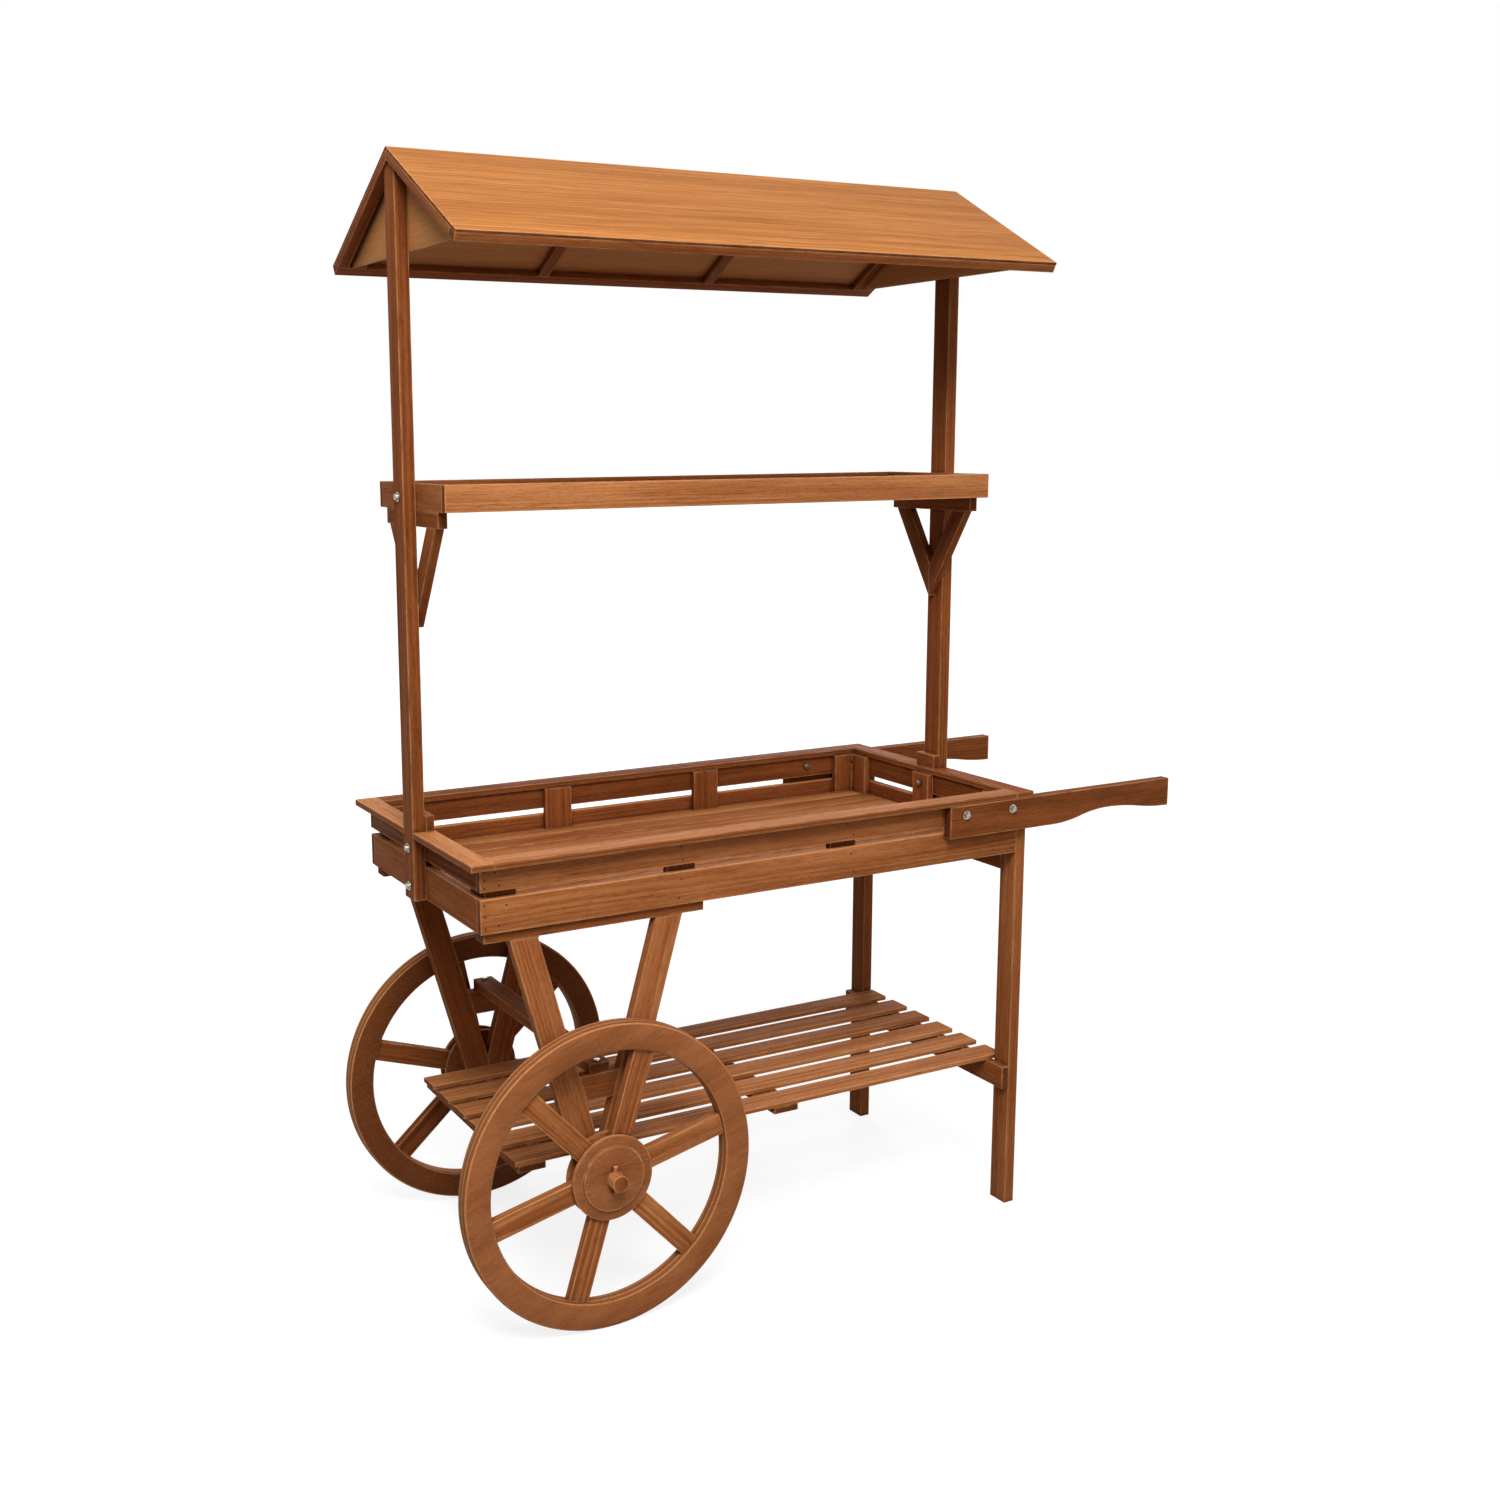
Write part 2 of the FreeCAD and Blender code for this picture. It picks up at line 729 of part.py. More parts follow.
def hubs(side, centre):
    """Two turned discs that hold the spokes between them: the outer one has a cap and a core."""
    way = SIDES[side]
    bore = s.axle_radius + s.axle_play
    core = s.spoke_width + s.hub_core_margin
    spoke = s.spoke_thick / 2
    face = s.wheel_thick / 2
    cap = face + s.hub_cap_thick
    boss = wheel_middle - beam_face - s.wheel_side_play
    outer = [
        (bore, -spoke),
        (core, -spoke),
        (core, spoke),
        (s.hub_radius, spoke),
        (s.hub_radius, face),
        (s.hub_cap_radius, face),
        (s.hub_cap_radius, cap),
        (bore, cap),
    ]
    inner = [
        (bore, -boss),
        (s.hub_boss_radius, -boss),
        (s.hub_boss_radius, -face),
        (s.hub_radius, -face),
        (s.hub_radius, -spoke),
        (bore, -spoke),
    ]
    for name, outline in (("outer", outer), ("inner", inner)):
        outline = [(radius, way * place_along) for radius, place_along in outline]
        node(turned(f"wheel_hub_{name}_{side}", outline, centre))


def spokes(side, centre):
    """Flat spokes from the core of the hub to the inside of the rim."""
    x, y, z = centre
    low_y = y - s.spoke_thick / 2
    core = s.spoke_width + s.hub_core_margin
    inner = s.wheel_radius - s.wheel_rim_width
    outside = rod(f"spoke_room_{side}", "Y", (x, low_y, z), inner, s.spoke_thick)
    inside = rod(f"spoke_core_{side}", "Y", (x, low_y, z), core, s.spoke_thick)
    ring = cut(f"spoke_ring_{side}", outside, [inside])
    pieces = []
    for index in range(SPOKES):
        angle = SPOKE_START_DEGREES[side] + index * 360 / SPOKES
        forward, rise = math.cos(math.radians(angle)), math.sin(math.radians(angle))
        blank = doc.addObject("Part::Box", f"spoke_blank_{side}_{index + 1}")
        blank.Placement = Placement(Vector(), Rotation(Vector(0, 1, 0), -angle))
        bind(blank, "Length", inner)
        bind(blank, "Width", s.spoke_thick)
        bind(blank, "Height", s.spoke_width)
        half = s.spoke_width / 2
        place(blank, (x + half * rise, low_y, z - half * forward))
        spoke = doc.addObject("Part::Common", f"spoke_{side}_{index + 1}")
        spoke.Base = blank
        spoke.Tool = ring
        pieces.append(spoke)
    node(group(f"wheel_spokes_{side}", pieces))


def wheels():
    for side, way in SIDES.items():
        centre = (axle_x, wheel_middle * way, s.wheel_radius)
        wheel_rim(side, centre)
        hubs(side, centre)
        spokes(side, centre)


# ---------------------------------------------------------------- legs and low shelf

def legs_and_rails(bolts):
    """Two legs outside the handle end, a rail between their tops and a rail that carries the shelf."""
    for side in SIDES:
        low = (at_end("handle_end", 0, s.upright_thick), at_side(side, side_face, s.leg_width), as_size(0))
        blank = timber(f"leg_{side}_blank", low, (s.upright_thick, s.leg_width, rim_bottom))
        node(cut(f"leg_{side}", blank, [bore for _, bore in bolts[f"{side}_leg"].values()]))
    leg_inner = side_face - s.leg_width
    low = (at_end("handle_end", 0, s.upright_thick), -leg_inner, lower_bottom - s.top_rail_height)
    node(timber("leg_top_rail", low, (s.upright_thick, 2 * leg_inner, s.top_rail_height)))
    x = at_end("handle_end", s.upright_thick, s.low_rail_thick)
    low = (x, -side_face, slat_bottom - s.low_rail_height)
    node(timber("leg_low_rail", low, (s.low_rail_thick, 2 * side_face, s.low_rail_height)))


def low_shelf():
    """Slats from beside the axle to the far face of the legs, with two bearers under them."""
    slats = []
    start = tray_start + s.shelf_slat_start
    half = side_face - s.leg_width - s.shelf_side_gap
    pitch = (2 * half - s.shelf_slat_width) / (SHELF_SLATS - 1)
    for index in range(SHELF_SLATS):
        low = (start, index * pitch - half, slat_bottom)
        size = (tray_end - start, s.shelf_slat_width, s.shelf_slat_thick)
        slats.append(timber(f"shelf_slat_{index + 1}", low, size))
    node(group("low_shelf_slats", slats))
    bearers = []
    places = {"near": start + s.shelf_bearer_inset, "middle": tray_start + s.shelf_bearer_middle}
    for name, x in places.items():
        low = (x, -half, slat_bottom - s.shelf_bearer_thick)
        size = (s.shelf_bearer_width, 2 * half, s.shelf_bearer_thick)
        bearers.append(timber(f"shelf_bearer_{name}", low, size))
    node(group("low_shelf_bearers", bearers))


# ---------------------------------------------------------------- posts and raised shelf

def roof_under(y, depth):
    """Height of a layer of the roof, a depth below its slope, at a distance from the ridge."""
    return s.roof_height - depth * roof_slope / roof_half - y * s.roof_rise / roof_half


def post_blanks():
    """Posts from the bottom of the tray boards to the roof, with tops cut to the roof's slope."""
    half = s.post_width / 2
    crown = s.post_crown_width / 2
    outline = [
        (-half, lower_bottom),
        (half, lower_bottom),
        (half, roof_under(half, batten_bottom)),
        (crown, roof_under(crown, batten_bottom)),
        (-crown, roof_under(crown, batten_bottom)),
        (-half, roof_under(half, batten_bottom)),
    ]
    blanks = {}
    for end in ENDS:
        start = at_end(end, 0, s.upright_thick)
        blanks[end] = shaped(f"post_{end}_blank", "YZ_Plane", outline, start, s.upright_thick)
    return blanks


def posts(blanks, bolts):
    cleats = []
    for end in ENDS:
        node(cut(f"post_{end}", blanks[end], [bore for _, bore in bolts[f"{end}_post"].values()]))
        low = (at_end(end, s.upright_thick, s.cleat_thick), centred(s.cleat_width), s.tray_top)
        cleats.append(timber(f"post_cleat_{end}", low, (s.cleat_thick, s.cleat_width, s.cleat_height)))
    node(group("post_cleats", cleats))


def raised_shelf(bolts):
    """A shallow box between the posts: two long boards, two end boards and a floor."""
    start = tray_start + s.upright_thick
    length = s.tray_length - 2 * s.upright_thick
    thick = s.planter_board_thick
    half = s.planter_width / 2
    for side in SIDES:
        low = (start, at_side(side, half, thick), planter_bottom)
        node(timber(f"planter_board_{side}", low, (length, thick, s.planter_height)))
    for end in ENDS:
        low = (at_end(end, s.upright_thick, thick), thick - half, planter_bottom)
        name = f"planter_board_{end}"
        blank = timber(f"{name}_blank", low, (thick, s.planter_width - 2 * thick, s.planter_height))
        node(cut(name, blank, [bolts[f"{end}_post"]["shelf"][1]]))
    low = (start + thick, thick - half, planter_bottom)
    size = (length - 2 * thick, s.planter_width - 2 * thick, s.planter_floor_thick)
    node(timber("planter_floor", low, size))


def brackets():
    """Under each end of the raised shelf, a bar across the post and two braces down to it."""
    bars = []
    braces = []
    bar_bottom = planter_bottom - s.bracket_height
    half = s.brace_width / 2
    steep = s.brace_drop / s.brace_spread
    for end in ENDS:
        x = at_end(end, s.upright_thick, s.bracket_thick)
        low = (x, centred(s.bracket_length), bar_bottom)
        bars.append(timber(f"bracket_bar_{end}", low, (s.bracket_thick, s.bracket_length, s.bracket_height)))
        for side, way in SIDES.items():
            inner, outer = s.brace_spread - half, s.brace_spread + half
            outline = [
                (way * inner, bar_bottom),
                (way * outer, bar_bottom),
                (0, bar_bottom - outer * steep),
                (0, bar_bottom - inner * steep),
            ]
            braces.append(shaped(f"brace_{end}_{side}", "YZ_Plane", outline, x, s.bracket_thick))
    node(group("bracket_bars", bars))
    node(group("bracket_braces", braces))


# ---------------------------------------------------------------- roof

def roof_point(way, distance, depth):
    """A point of the roof's section: a distance down the slope, and a depth below it."""
    y = (distance * roof_half - depth * s.roof_rise) / roof_slope
    z = s.roof_height - (distance * s.roof_rise + depth * roof_half) / roof_slope
    return way * y, z


def roof_layer(way, y, top, bottom, reach):
    """Section of a layer of one slope, cut upright near the ridge and square at its low end."""
    return [
        (way * y, roof_under(y, top)),
        roof_point(way, reach, top),
        roof_point(way, reach, bottom),
        (way * y, roof_under(y, bottom)),
    ]


def roof_panels():
    for side, way in SIDES.items():
        outline = roof_layer(way, as_size(0), as_size(0), s.roof_panel_thick, roof_slope)
        node(shaped(f"roof_panel_{side}", "YZ_Plane", outline, roof_start, roof_length))


def roof_battens():
    """Eave battens the length of the roof, rafters on each slope and a beam under the ridge."""
    eave = roof_slope - s.eave_batten_width
    panel = s.roof_panel_thick
    beam_half = s.ridge_beam_width / 2
    gable_inner = s.upright_thick + s.gable_panel_thick
    first = tray_start + gable_inner
    room = s.tray_length - 2 * gable_inner - s.rafter_width
    rafters = []
    eaves = []
    for side, way in SIDES.items():
        edge_outline = roof_layer(way, as_size(0), panel, batten_bottom, eave)
        inner_outline = roof_layer(way, beam_half, panel, batten_bottom, eave)
        edge_starts = [roof_start, roof_start + roof_length - s.rafter_width]
        inner_starts = [first + index * room / RAFTER_BAYS for index in range(RAFTER_BAYS + 1)]
        for index, x in enumerate(edge_starts):
            name = f"edge_rafter_{side}_{index + 1}"
            rafters.append(shaped(name, "YZ_Plane", edge_outline, x, s.rafter_width))
        for index, x in enumerate(inner_starts):
            name = f"inner_rafter_{side}_{index + 1}"
            rafters.append(shaped(name, "YZ_Plane", inner_outline, x, s.rafter_width))
        outline = [
            roof_point(way, eave, panel),
            roof_point(way, roof_slope, panel),
            roof_point(way, roof_slope, batten_bottom),
            roof_point(way, eave, batten_bottom),
        ]
        eaves.append(shaped(f"eave_batten_{side}", "YZ_Plane", outline, roof_start, roof_length))
    node(group("roof_rafters", rafters))
    node(group("roof_eave_battens", eaves))
    outline = [
        (0, roof_under(0, panel)),
        (beam_half, roof_under(beam_half, panel)),
        (beam_half, roof_under(beam_half, batten_bottom)),
        (-beam_half, roof_under(beam_half, batten_bottom)),
        (-beam_half, roof_under(beam_half, panel)),
    ]
    node(shaped("roof_ridge_beam", "YZ_Plane", outline, first, s.tray_length - 2 * gable_inner))


def gable_panels():
    """A thin triangle inside each post, up against the roof."""
    eave = roof_slope - s.eave_batten_width
    outline = [
        (0, roof_under(0, s.roof_panel_thick)),
        roof_point(1, eave, s.roof_panel_thick),
        roof_point(1, eave, batten_bottom),
        roof_point(-1, eave, batten_bottom),
        roof_point(-1, eave, s.roof_panel_thick),
    ]
    for end in ENDS:
        start = at_end(end, s.upright_thick, s.gable_panel_thick)
        node(shaped(f"gable_panel_{end}", "YZ_Plane", outline, start, s.gable_panel_thick))


# ---------------------------------------------------------------- whole cart

def check_document():
    """Stop if any object of the document failed, or a sub-part has no sound shape."""
    for piece in doc.Objects:
        if "Invalid" in piece.State or "Error" in piece.State:
            raise RuntimeError(f"{piece.Name} failed: {piece.State}")
    for piece in nodes:
        if piece.Shape.isNull() or not piece.Shape.isValid() or not piece.Shape.Solids:
            raise RuntimeError(f"{piece.Label} has no sound shape")


def export_nodes():
    os.makedirs("parts", exist_ok=True)
    for piece in nodes:
        piece.Shape.exportStep(f"parts/{piece.Label}.step")


def build_cart():
    bolts = {f"{end}_post": post_bolts(end) for end in ENDS}
    bolts.update({f"{side}_leg": leg_bolts(side) for side in SIDES})
    bolts.update({f"{side}_handle": handle_bolts(side) for side in SIDES})
    screws = {side: stretcher_screw(side) for side in SIDES}
    blanks = post_blanks()
    tray_rim(blanks)
    tray_boards(bolts)
    tray_battens(bolts)
    tray_floor()
    handles(bolts)
    wheel_frames(screws)
    axle_and_pegs()
    wheels()
    legs_and_rails(bolts)
    low_shelf()
    posts(blanks, bolts)
    raised_shelf(bolts)
    brackets()
    roof_panels()
    roof_battens()
    gable_panels()
    fasteners = [fastener for kit in bolts.values() for fastener, _ in kit.values()]
    fasteners += [fastener for fastener, _ in screws.values()]
    node(group("bolts_and_screws", fasteners))


build_cart()
doc.recompute()
check_document()
export_nodes()
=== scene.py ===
import math
import random

import bmesh
import bpy
from mathutils import Matrix, Vector


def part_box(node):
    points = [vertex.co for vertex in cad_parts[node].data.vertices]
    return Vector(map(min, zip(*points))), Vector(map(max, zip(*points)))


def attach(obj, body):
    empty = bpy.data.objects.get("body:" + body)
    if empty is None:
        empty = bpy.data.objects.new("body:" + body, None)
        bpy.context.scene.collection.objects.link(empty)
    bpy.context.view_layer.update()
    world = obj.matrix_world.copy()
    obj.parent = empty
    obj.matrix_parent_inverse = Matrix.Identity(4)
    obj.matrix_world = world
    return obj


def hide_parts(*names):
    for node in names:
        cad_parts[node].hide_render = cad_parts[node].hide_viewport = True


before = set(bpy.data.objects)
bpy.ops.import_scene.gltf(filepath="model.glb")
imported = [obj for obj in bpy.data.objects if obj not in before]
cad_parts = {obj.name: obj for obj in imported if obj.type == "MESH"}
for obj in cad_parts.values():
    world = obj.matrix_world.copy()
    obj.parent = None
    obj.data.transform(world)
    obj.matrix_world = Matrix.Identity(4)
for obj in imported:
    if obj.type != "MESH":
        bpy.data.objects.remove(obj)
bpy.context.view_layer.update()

# The finish of a flower cart stand in stained timber: eased edges, pale rubbed edges that are partly painted
# highlight, painted shade with pooled grime in the joints, growth rings and end grain on every board, plywood
# wheels with their layers, veneered roof panels, bolts and brads, and tones that carry painted light and
# shade.
# Lengths are in metres, in the frame of the imported model: X along the cart, Y across it, Z up.

MM = 0.001
CART = "cart"
WHEELS = {"front": "wheel_front", "rear": "wheel_rear"}
OUTWARD = {"front": -1, "rear": 1}
PICTURE = 1500
luck = random.Random(29)
ALONG, ACROSS, UP = Vector((1, 0, 0)), Vector((0, 1, 0)), Vector((0, 0, 1))


# ---------------------------------------------------------------- stain colours

def stain(red, green, blue):
    """A colour as it is seen, given in 0 to 255, turned into light."""
    def light(part):
        part /= 255
        return part / 12.92 if part <= 0.04045 else ((part + 0.055) / 1.055) ** 2.4
    return (light(red), light(green), light(blue), 1)


FIR_PALE = stain(206, 140, 88)
FIR_MIDDLE = stain(154, 90, 48)
FIR_DARK = stain(98, 50, 22)
FIR_RED = stain(140, 66, 36)
FIR_END = stain(112, 62, 34)
FIR_RUBBED_AND_HIGHLIT = stain(228, 166, 114)
KNOT = stain(72, 34, 16)
# The darkest colour: for glue lines, and for painted shade with pooled grime in the joints.
GRIME_AND_SHADE = stain(44, 20, 8)
GRAIN_SHADE = (0.60, 0.46, 0.34, 1)
PORE_SHADE = (0.38, 0.26, 0.18, 1)
PLY_FACE = stain(164, 102, 61)
PLY_SHADE = stain(144, 85, 48)
PLY_LAYER = stain(190, 124, 76)
PLY_GLUE = stain(84, 42, 20)
VENEER_PALE = stain(182, 118, 62)
VENEER_MIDDLE = stain(160, 101, 50)
VENEER_DARK = stain(112, 62, 27)
VENEER_PALEST = stain(206, 140, 86)
VENEER_LAYER = stain(104, 52, 28)
RAW_WOOD = stain(204, 150, 100)
ZINC = stain(190, 182, 168)
ZINC_DULL = stain(112, 102, 90)
BRAD_AND_SOCKET_SHADE = stain(44, 24, 14)


# ---------------------------------------------------------------- shader helpers

def put(tree, kind, settings=None, **inputs):
    """Add a node: a socket is wired in, and anything else is set on the input of that name."""
    made = tree.nodes.new(kind)
    for name, value in (settings or {}).items():
        setattr(made, name, value)
    for name, value in inputs.items():
        slot = made.inputs[int(name[1:])] if name[1:].isdigit() else made.inputs[name.replace("_", " ")]
        if isinstance(value, bpy.types.NodeSocket):
            tree.links.new(value, slot)
        else:
            slot.default_value = value
    return made


def sum_of(tree, work, first, second=0.0, third=0.0, clamp=False):
    """One step of arithmetic on values."""
    settings = {"operation": work, "use_clamp": clamp}
    return put(tree, "ShaderNodeMath", settings, _0=first, _1=second, _2=third).outputs[0]


def stretched(tree, place, scale):
    """A place squeezed or stretched along each of its three ways."""
    return put(tree, "ShaderNodeVectorMath", {"operation": "MULTIPLY"}, _0=place, _1=scale).outputs[0]


def cloud(tree, place, scale, detail=2.0, rough=0.5):
    """A soft random value between 0 and 1 that changes with the place."""
    inputs = {"Vector": stretched(tree, place, scale), "Scale": 1.0, "Detail": detail, "Roughness": rough}
    return put(tree, "ShaderNodeTexNoise", **inputs).outputs[0]


def wavy(tree, place, swing):
    """A place moved to and fro across the grain, so that the lines on it ripple."""
    sway = cloud(tree, place, (14, 20, 20), 2.0)
    shift = put(tree, "ShaderNodeCombineXYZ", Y=sum_of(tree, "MULTIPLY_ADD", sway, swing, -swing / 2))
    return put(tree, "ShaderNodeVectorMath", {"operation": "ADD"}, _0=place, _1=shift.outputs[0]).outputs[0]


def step_up(tree, value, low, high, bottom=0.0, top=1.0):
    """A value that climbs smoothly from bottom to top as its input goes from low to high."""
    settings = {"interpolation_type": "SMOOTHSTEP", "clamp": True}
    inputs = {"Value": value, "From_Min": low, "From_Max": high, "To_Min": bottom, "To_Max": top}
    return put(tree, "ShaderNodeMapRange", settings, **inputs).outputs[0]


def blended(tree, share, under, over, mode="MIX"):
    """Two colours mixed by a share."""
    settings = {"data_type": "RGBA", "blend_type": mode}
    return put(tree, "ShaderNodeMix", settings, _0=share, _6=under, _7=over).outputs[2]


def new_group(name, takes, gives):
    """An empty node group with named inputs and outputs."""
    group = bpy.data.node_groups.new(name, "ShaderNodeTree")
    for slot, kind, value in takes:
        made = group.interface.new_socket(slot, in_out="INPUT", socket_type=kind)
        if value is not None:
            made.default_value = value
    for slot, kind in gives:
        group.interface.new_socket(slot, in_out="OUTPUT", socket_type=kind)
    start = group.nodes.new("NodeGroupInput")
    end = group.nodes.new("NodeGroupOutput")
    return group, start, end


def use(tree, group, **inputs):
    """Place a node group in a material."""
    return put(tree, "ShaderNodeGroup", {"node_tree": group}, **inputs)


VALUE = "NodeSocketFloat"
PLACE = "NodeSocketVector"


# ---------------------------------------------------------------- shared surface effects

def fir_figure():
    """Softwood sawn along the grain: rings that come and go, streaks, pores, patches and knots."""
    takes = [("Place", PLACE, None), ("Ring Width", VALUE, 0.006), ("Ring Depth", VALUE, 0.5),
             ("Wander", VALUE, 0.012)]
    gives = [("Grain", VALUE), ("Pores", VALUE), ("Patches", VALUE), ("Knots", VALUE)]
    group, start, end = new_group("fir_figure", takes, gives)
    place = start.outputs["Place"]

    spots = put(group, "ShaderNodeTexVoronoi", Vector=stretched(group, place, (2.6, 9, 9)), Scale=1.0)
    near = spots.outputs["Distance"]
    split = put(group, "ShaderNodeSeparateColor", Color=spots.outputs["Color"])
    rare = step_up(group, split.outputs[0], 0.8, 0.82)
    knots = sum_of(group, "MULTIPLY", step_up(group, near, 0.03, 0.08, 1.0, 0.0), rare)
    pull = sum_of(group, "MULTIPLY", step_up(group, near, 0.05, 0.34, 1.0, 0.0), rare)

    wander = cloud(group, place, (1.6, 5, 5), 2.0)
    ripple = cloud(group, place, (7, 60, 60), 2.0)
    across = put(group, "ShaderNodeVectorMath", {"operation": "LENGTH"},
                 _0=stretched(group, place, (0, 1, 1))).outputs["Value"]
    moved = sum_of(group, "MULTIPLY_ADD", wander, start.outputs["Wander"], across)
    moved = sum_of(group, "MULTIPLY_ADD", ripple, 0.0026, moved)
    moved = sum_of(group, "MULTIPLY_ADD", pull, 0.006, moved)
    turn = sum_of(group, "FRACT", sum_of(group, "DIVIDE", moved, start.outputs["Ring Width"]))
    late_wood = step_up(group, turn, 0.86, 1.0, 1.0, 0.0)
    rings = sum_of(group, "MULTIPLY", step_up(group, turn, 0.1, 0.84), late_wood)
    present = step_up(group, cloud(group, place, (2.4, 40, 40), 2.0), 0.36, 0.66, 0.15)
    rings = sum_of(group, "MULTIPLY", sum_of(group, "MULTIPLY", rings, present), start.outputs["Ring Depth"])

    wide = step_up(group, cloud(group, place, (1.8, 95, 95), 3.0, 0.55), 0.34, 0.72)
    narrow = step_up(group, cloud(group, wavy(group, place, 0.006), (5, 300, 300), 3.0, 0.6), 0.36, 0.7)
    streaks = sum_of(group, "MULTIPLY_ADD", wide, 0.24, sum_of(group, "MULTIPLY", narrow, 0.34))
    fuzz = step_up(group, cloud(group, place, (110, 620, 620), 3.0, 0.75), 0.46, 0.72, 0.0, 0.5)
    streaks = sum_of(group, "ADD", streaks, fuzz)
    grain = sum_of(group, "ADD", rings, streaks, clamp=True)
    pores = step_up(group, cloud(group, place, (26, 760, 760), 2.0, 0.6), 0.56, 0.7)
    patches = cloud(group, place, (3.2, 16, 16), 4.0, 0.6)
    for slot, value in (("Grain", grain), ("Pores", pores), ("Patches", patches), ("Knots", knots)):
        group.links.new(value, end.inputs[slot])
    return group


def rubbed_and_highlit_edges():
    """Where an edge is pale, partly rubbed and partly painted highlight: strong on the edge, broken up along
    it.
    """
    takes = [("Place", PLACE, None), ("Reach", VALUE, 0.0046), ("Amount", VALUE, 1.0)]
    group, start, end = new_group("rubbed_and_highlit_edges", takes, [("Rubbed And Highlit", VALUE)])
    round_normal = put(group, "ShaderNodeBevel", {"samples": 4}, Radius=start.outputs["Reach"])
    flat_normal = put(group, "ShaderNodeNewGeometry").outputs["Normal"]
    alike = put(group, "ShaderNodeVectorMath", {"operation": "DOT_PRODUCT"},
                _0=round_normal.outputs[0], _1=flat_normal).outputs["Value"]
    edge = step_up(group, alike, 0.995, 0.82)
    broken = step_up(group, cloud(group, start.outputs["Place"], (22, 60, 60), 3.0, 0.65), 0.34, 0.62, 0.25)
    rubbed_and_highlit = sum_of(group, "MULTIPLY", sum_of(group, "MULTIPLY", edge, broken), start.outputs["Amount"])
    group.links.new(rubbed_and_highlit, end.inputs["Rubbed And Highlit"])
    return group


def joint_shade_and_grime():
    """Painted shade where boards meet and in other hollows, found by occlusion, with stain that pooled there.
    """
    takes = [("Reach", VALUE, 0.012)]
    group, start, end = new_group("joint_shade_and_grime", takes, [("Shade And Grime", VALUE)])
    shut = put(group, "ShaderNodeAmbientOcclusion", {"samples": 4}, Distance=start.outputs["Reach"])
    group.links.new(step_up(group, shut.outputs["AO"], 0.25, 0.85, 1.0, 0.0), end.inputs["Shade And Grime"])
    return group


FIGURE = fir_figure()
RUBBED_AND_HIGHLIT = rubbed_and_highlit_edges()
JOINT_SHADE_AND_GRIME = joint_shade_and_grime()


# ---------------------------------------------------------------- materials

def new_material(name):
    """A material with only its shader, and that shader."""
    made = bpy.data.materials.new(name)
    made.use_nodes = True
    shader = made.node_tree.nodes["Principled BSDF"]
    shader.inputs["Specular IOR Level"].default_value = 0.05
    return made, made.node_tree, shader


def board_place(tree):
    """The place on a board: along its grain, across its face and through its thickness."""
    return put(tree, "ShaderNodeAttribute", {"attribute_name": "board_place"}).outputs["Vector"]


def board_tone_and_light(tree):
    """How light a board is, its stain's tone with painted light and shade in it, written on its corners."""
    return put(tree, "ShaderNodeAttribute", {"attribute_name": "board_tone_and_light"}).outputs["Fac"]


def worn_and_shaded(tree, shader, colour, place, rub_and_highlight, rubbed_and_highlit_colour=FIR_RUBBED_AND_HIGHLIT, shade_and_grime=0.75):
    """Lay painted shade with pooled grime in the joints, and pale rubbed edges that are partly painted
    highlight, over a colour, and wire it to the shader.
    """
    shade_and_dirt = use(tree, JOINT_SHADE_AND_GRIME).outputs["Shade And Grime"]
    # Painted shade: the colour darkens where occlusion finds a joint or hollow, with some grime pooled there.
    colour = blended(tree, sum_of(tree, "MULTIPLY", shade_and_dirt, shade_and_grime), colour, GRIME_AND_SHADE)
    edges = use(tree, RUBBED_AND_HIGHLIT, Place=place, Amount=rub_and_highlight).outputs["Rubbed And Highlit"]
    # Pale edges: partly rubbed wear, partly painted highlight.
    tree.links.new(blended(tree, edges, colour, rubbed_and_highlit_colour), shader.inputs["Base Color"])
    return edges


def rough_and_raised(tree, shader, rough_mask, rough_low, rough_high, height, lift):
    """Wire a roughness that follows a mask, and a bump from a height in metres."""
    tree.links.new(step_up(tree, rough_mask, 0, 1, rough_low, rough_high), shader.inputs["Roughness"])
    bump = put(tree, "ShaderNodeBump", Strength=1.0, Distance=lift, Height=height)
    tree.links.new(bump.outputs[0], shader.inputs["Normal"])


def shaded(tree, colour, share, shade):
    """Darken a colour by a share of a shade, so that it stays its own hue."""
    return blended(tree, share, colour, shade, "MULTIPLY")


def stained_fir(name, ring_width, ring_depth, rub_and_highlight=0.8):
    """Sawn fir under an orange-brown stain that took lighter or darker from board to board, with painted
    light and shade in each part's tone.
    """
    made, tree, shader = new_material(name)
    place = board_place(tree)
    figure = use(tree, FIGURE, Place=place, Ring_Width=ring_width, Ring_Depth=ring_depth)
    grain, pores = figure.outputs["Grain"], figure.outputs["Pores"]
    patches, knots = figure.outputs["Patches"], figure.outputs["Knots"]
    tone = sum_of(tree, "ADD", sum_of(tree, "MULTIPLY_ADD", patches, 0.62, -0.31), board_tone_and_light(tree))

    colour = blended(tree, step_up(tree, tone, -0.1, 0.55), FIR_DARK, FIR_MIDDLE)
    colour = blended(tree, step_up(tree, tone, 0.45, 1.1), colour, FIR_PALE)
    reddish = step_up(tree, cloud(tree, place, (1.4, 22, 22), 2.0), 0.5, 0.75, 0.0, 0.35)
    colour = blended(tree, reddish, colour, FIR_RED)
    colour = shaded(tree, colour, grain, GRAIN_SHADE)
    colour = shaded(tree, colour, sum_of(tree, "MULTIPLY", pores, 0.45), PORE_SHADE)
    colour = blended(tree, sum_of(tree, "MULTIPLY", knots, 0.75), colour, KNOT)

    worn_and_shaded(tree, shader, colour, place, rub_and_highlight)
    height = sum_of(tree, "MULTIPLY_ADD", grain, -0.6, sum_of(tree, "MULTIPLY", pores, -0.6))
    rough_and_raised(tree, shader, grain, 0.6, 0.8, height, 0.0004)
    return made


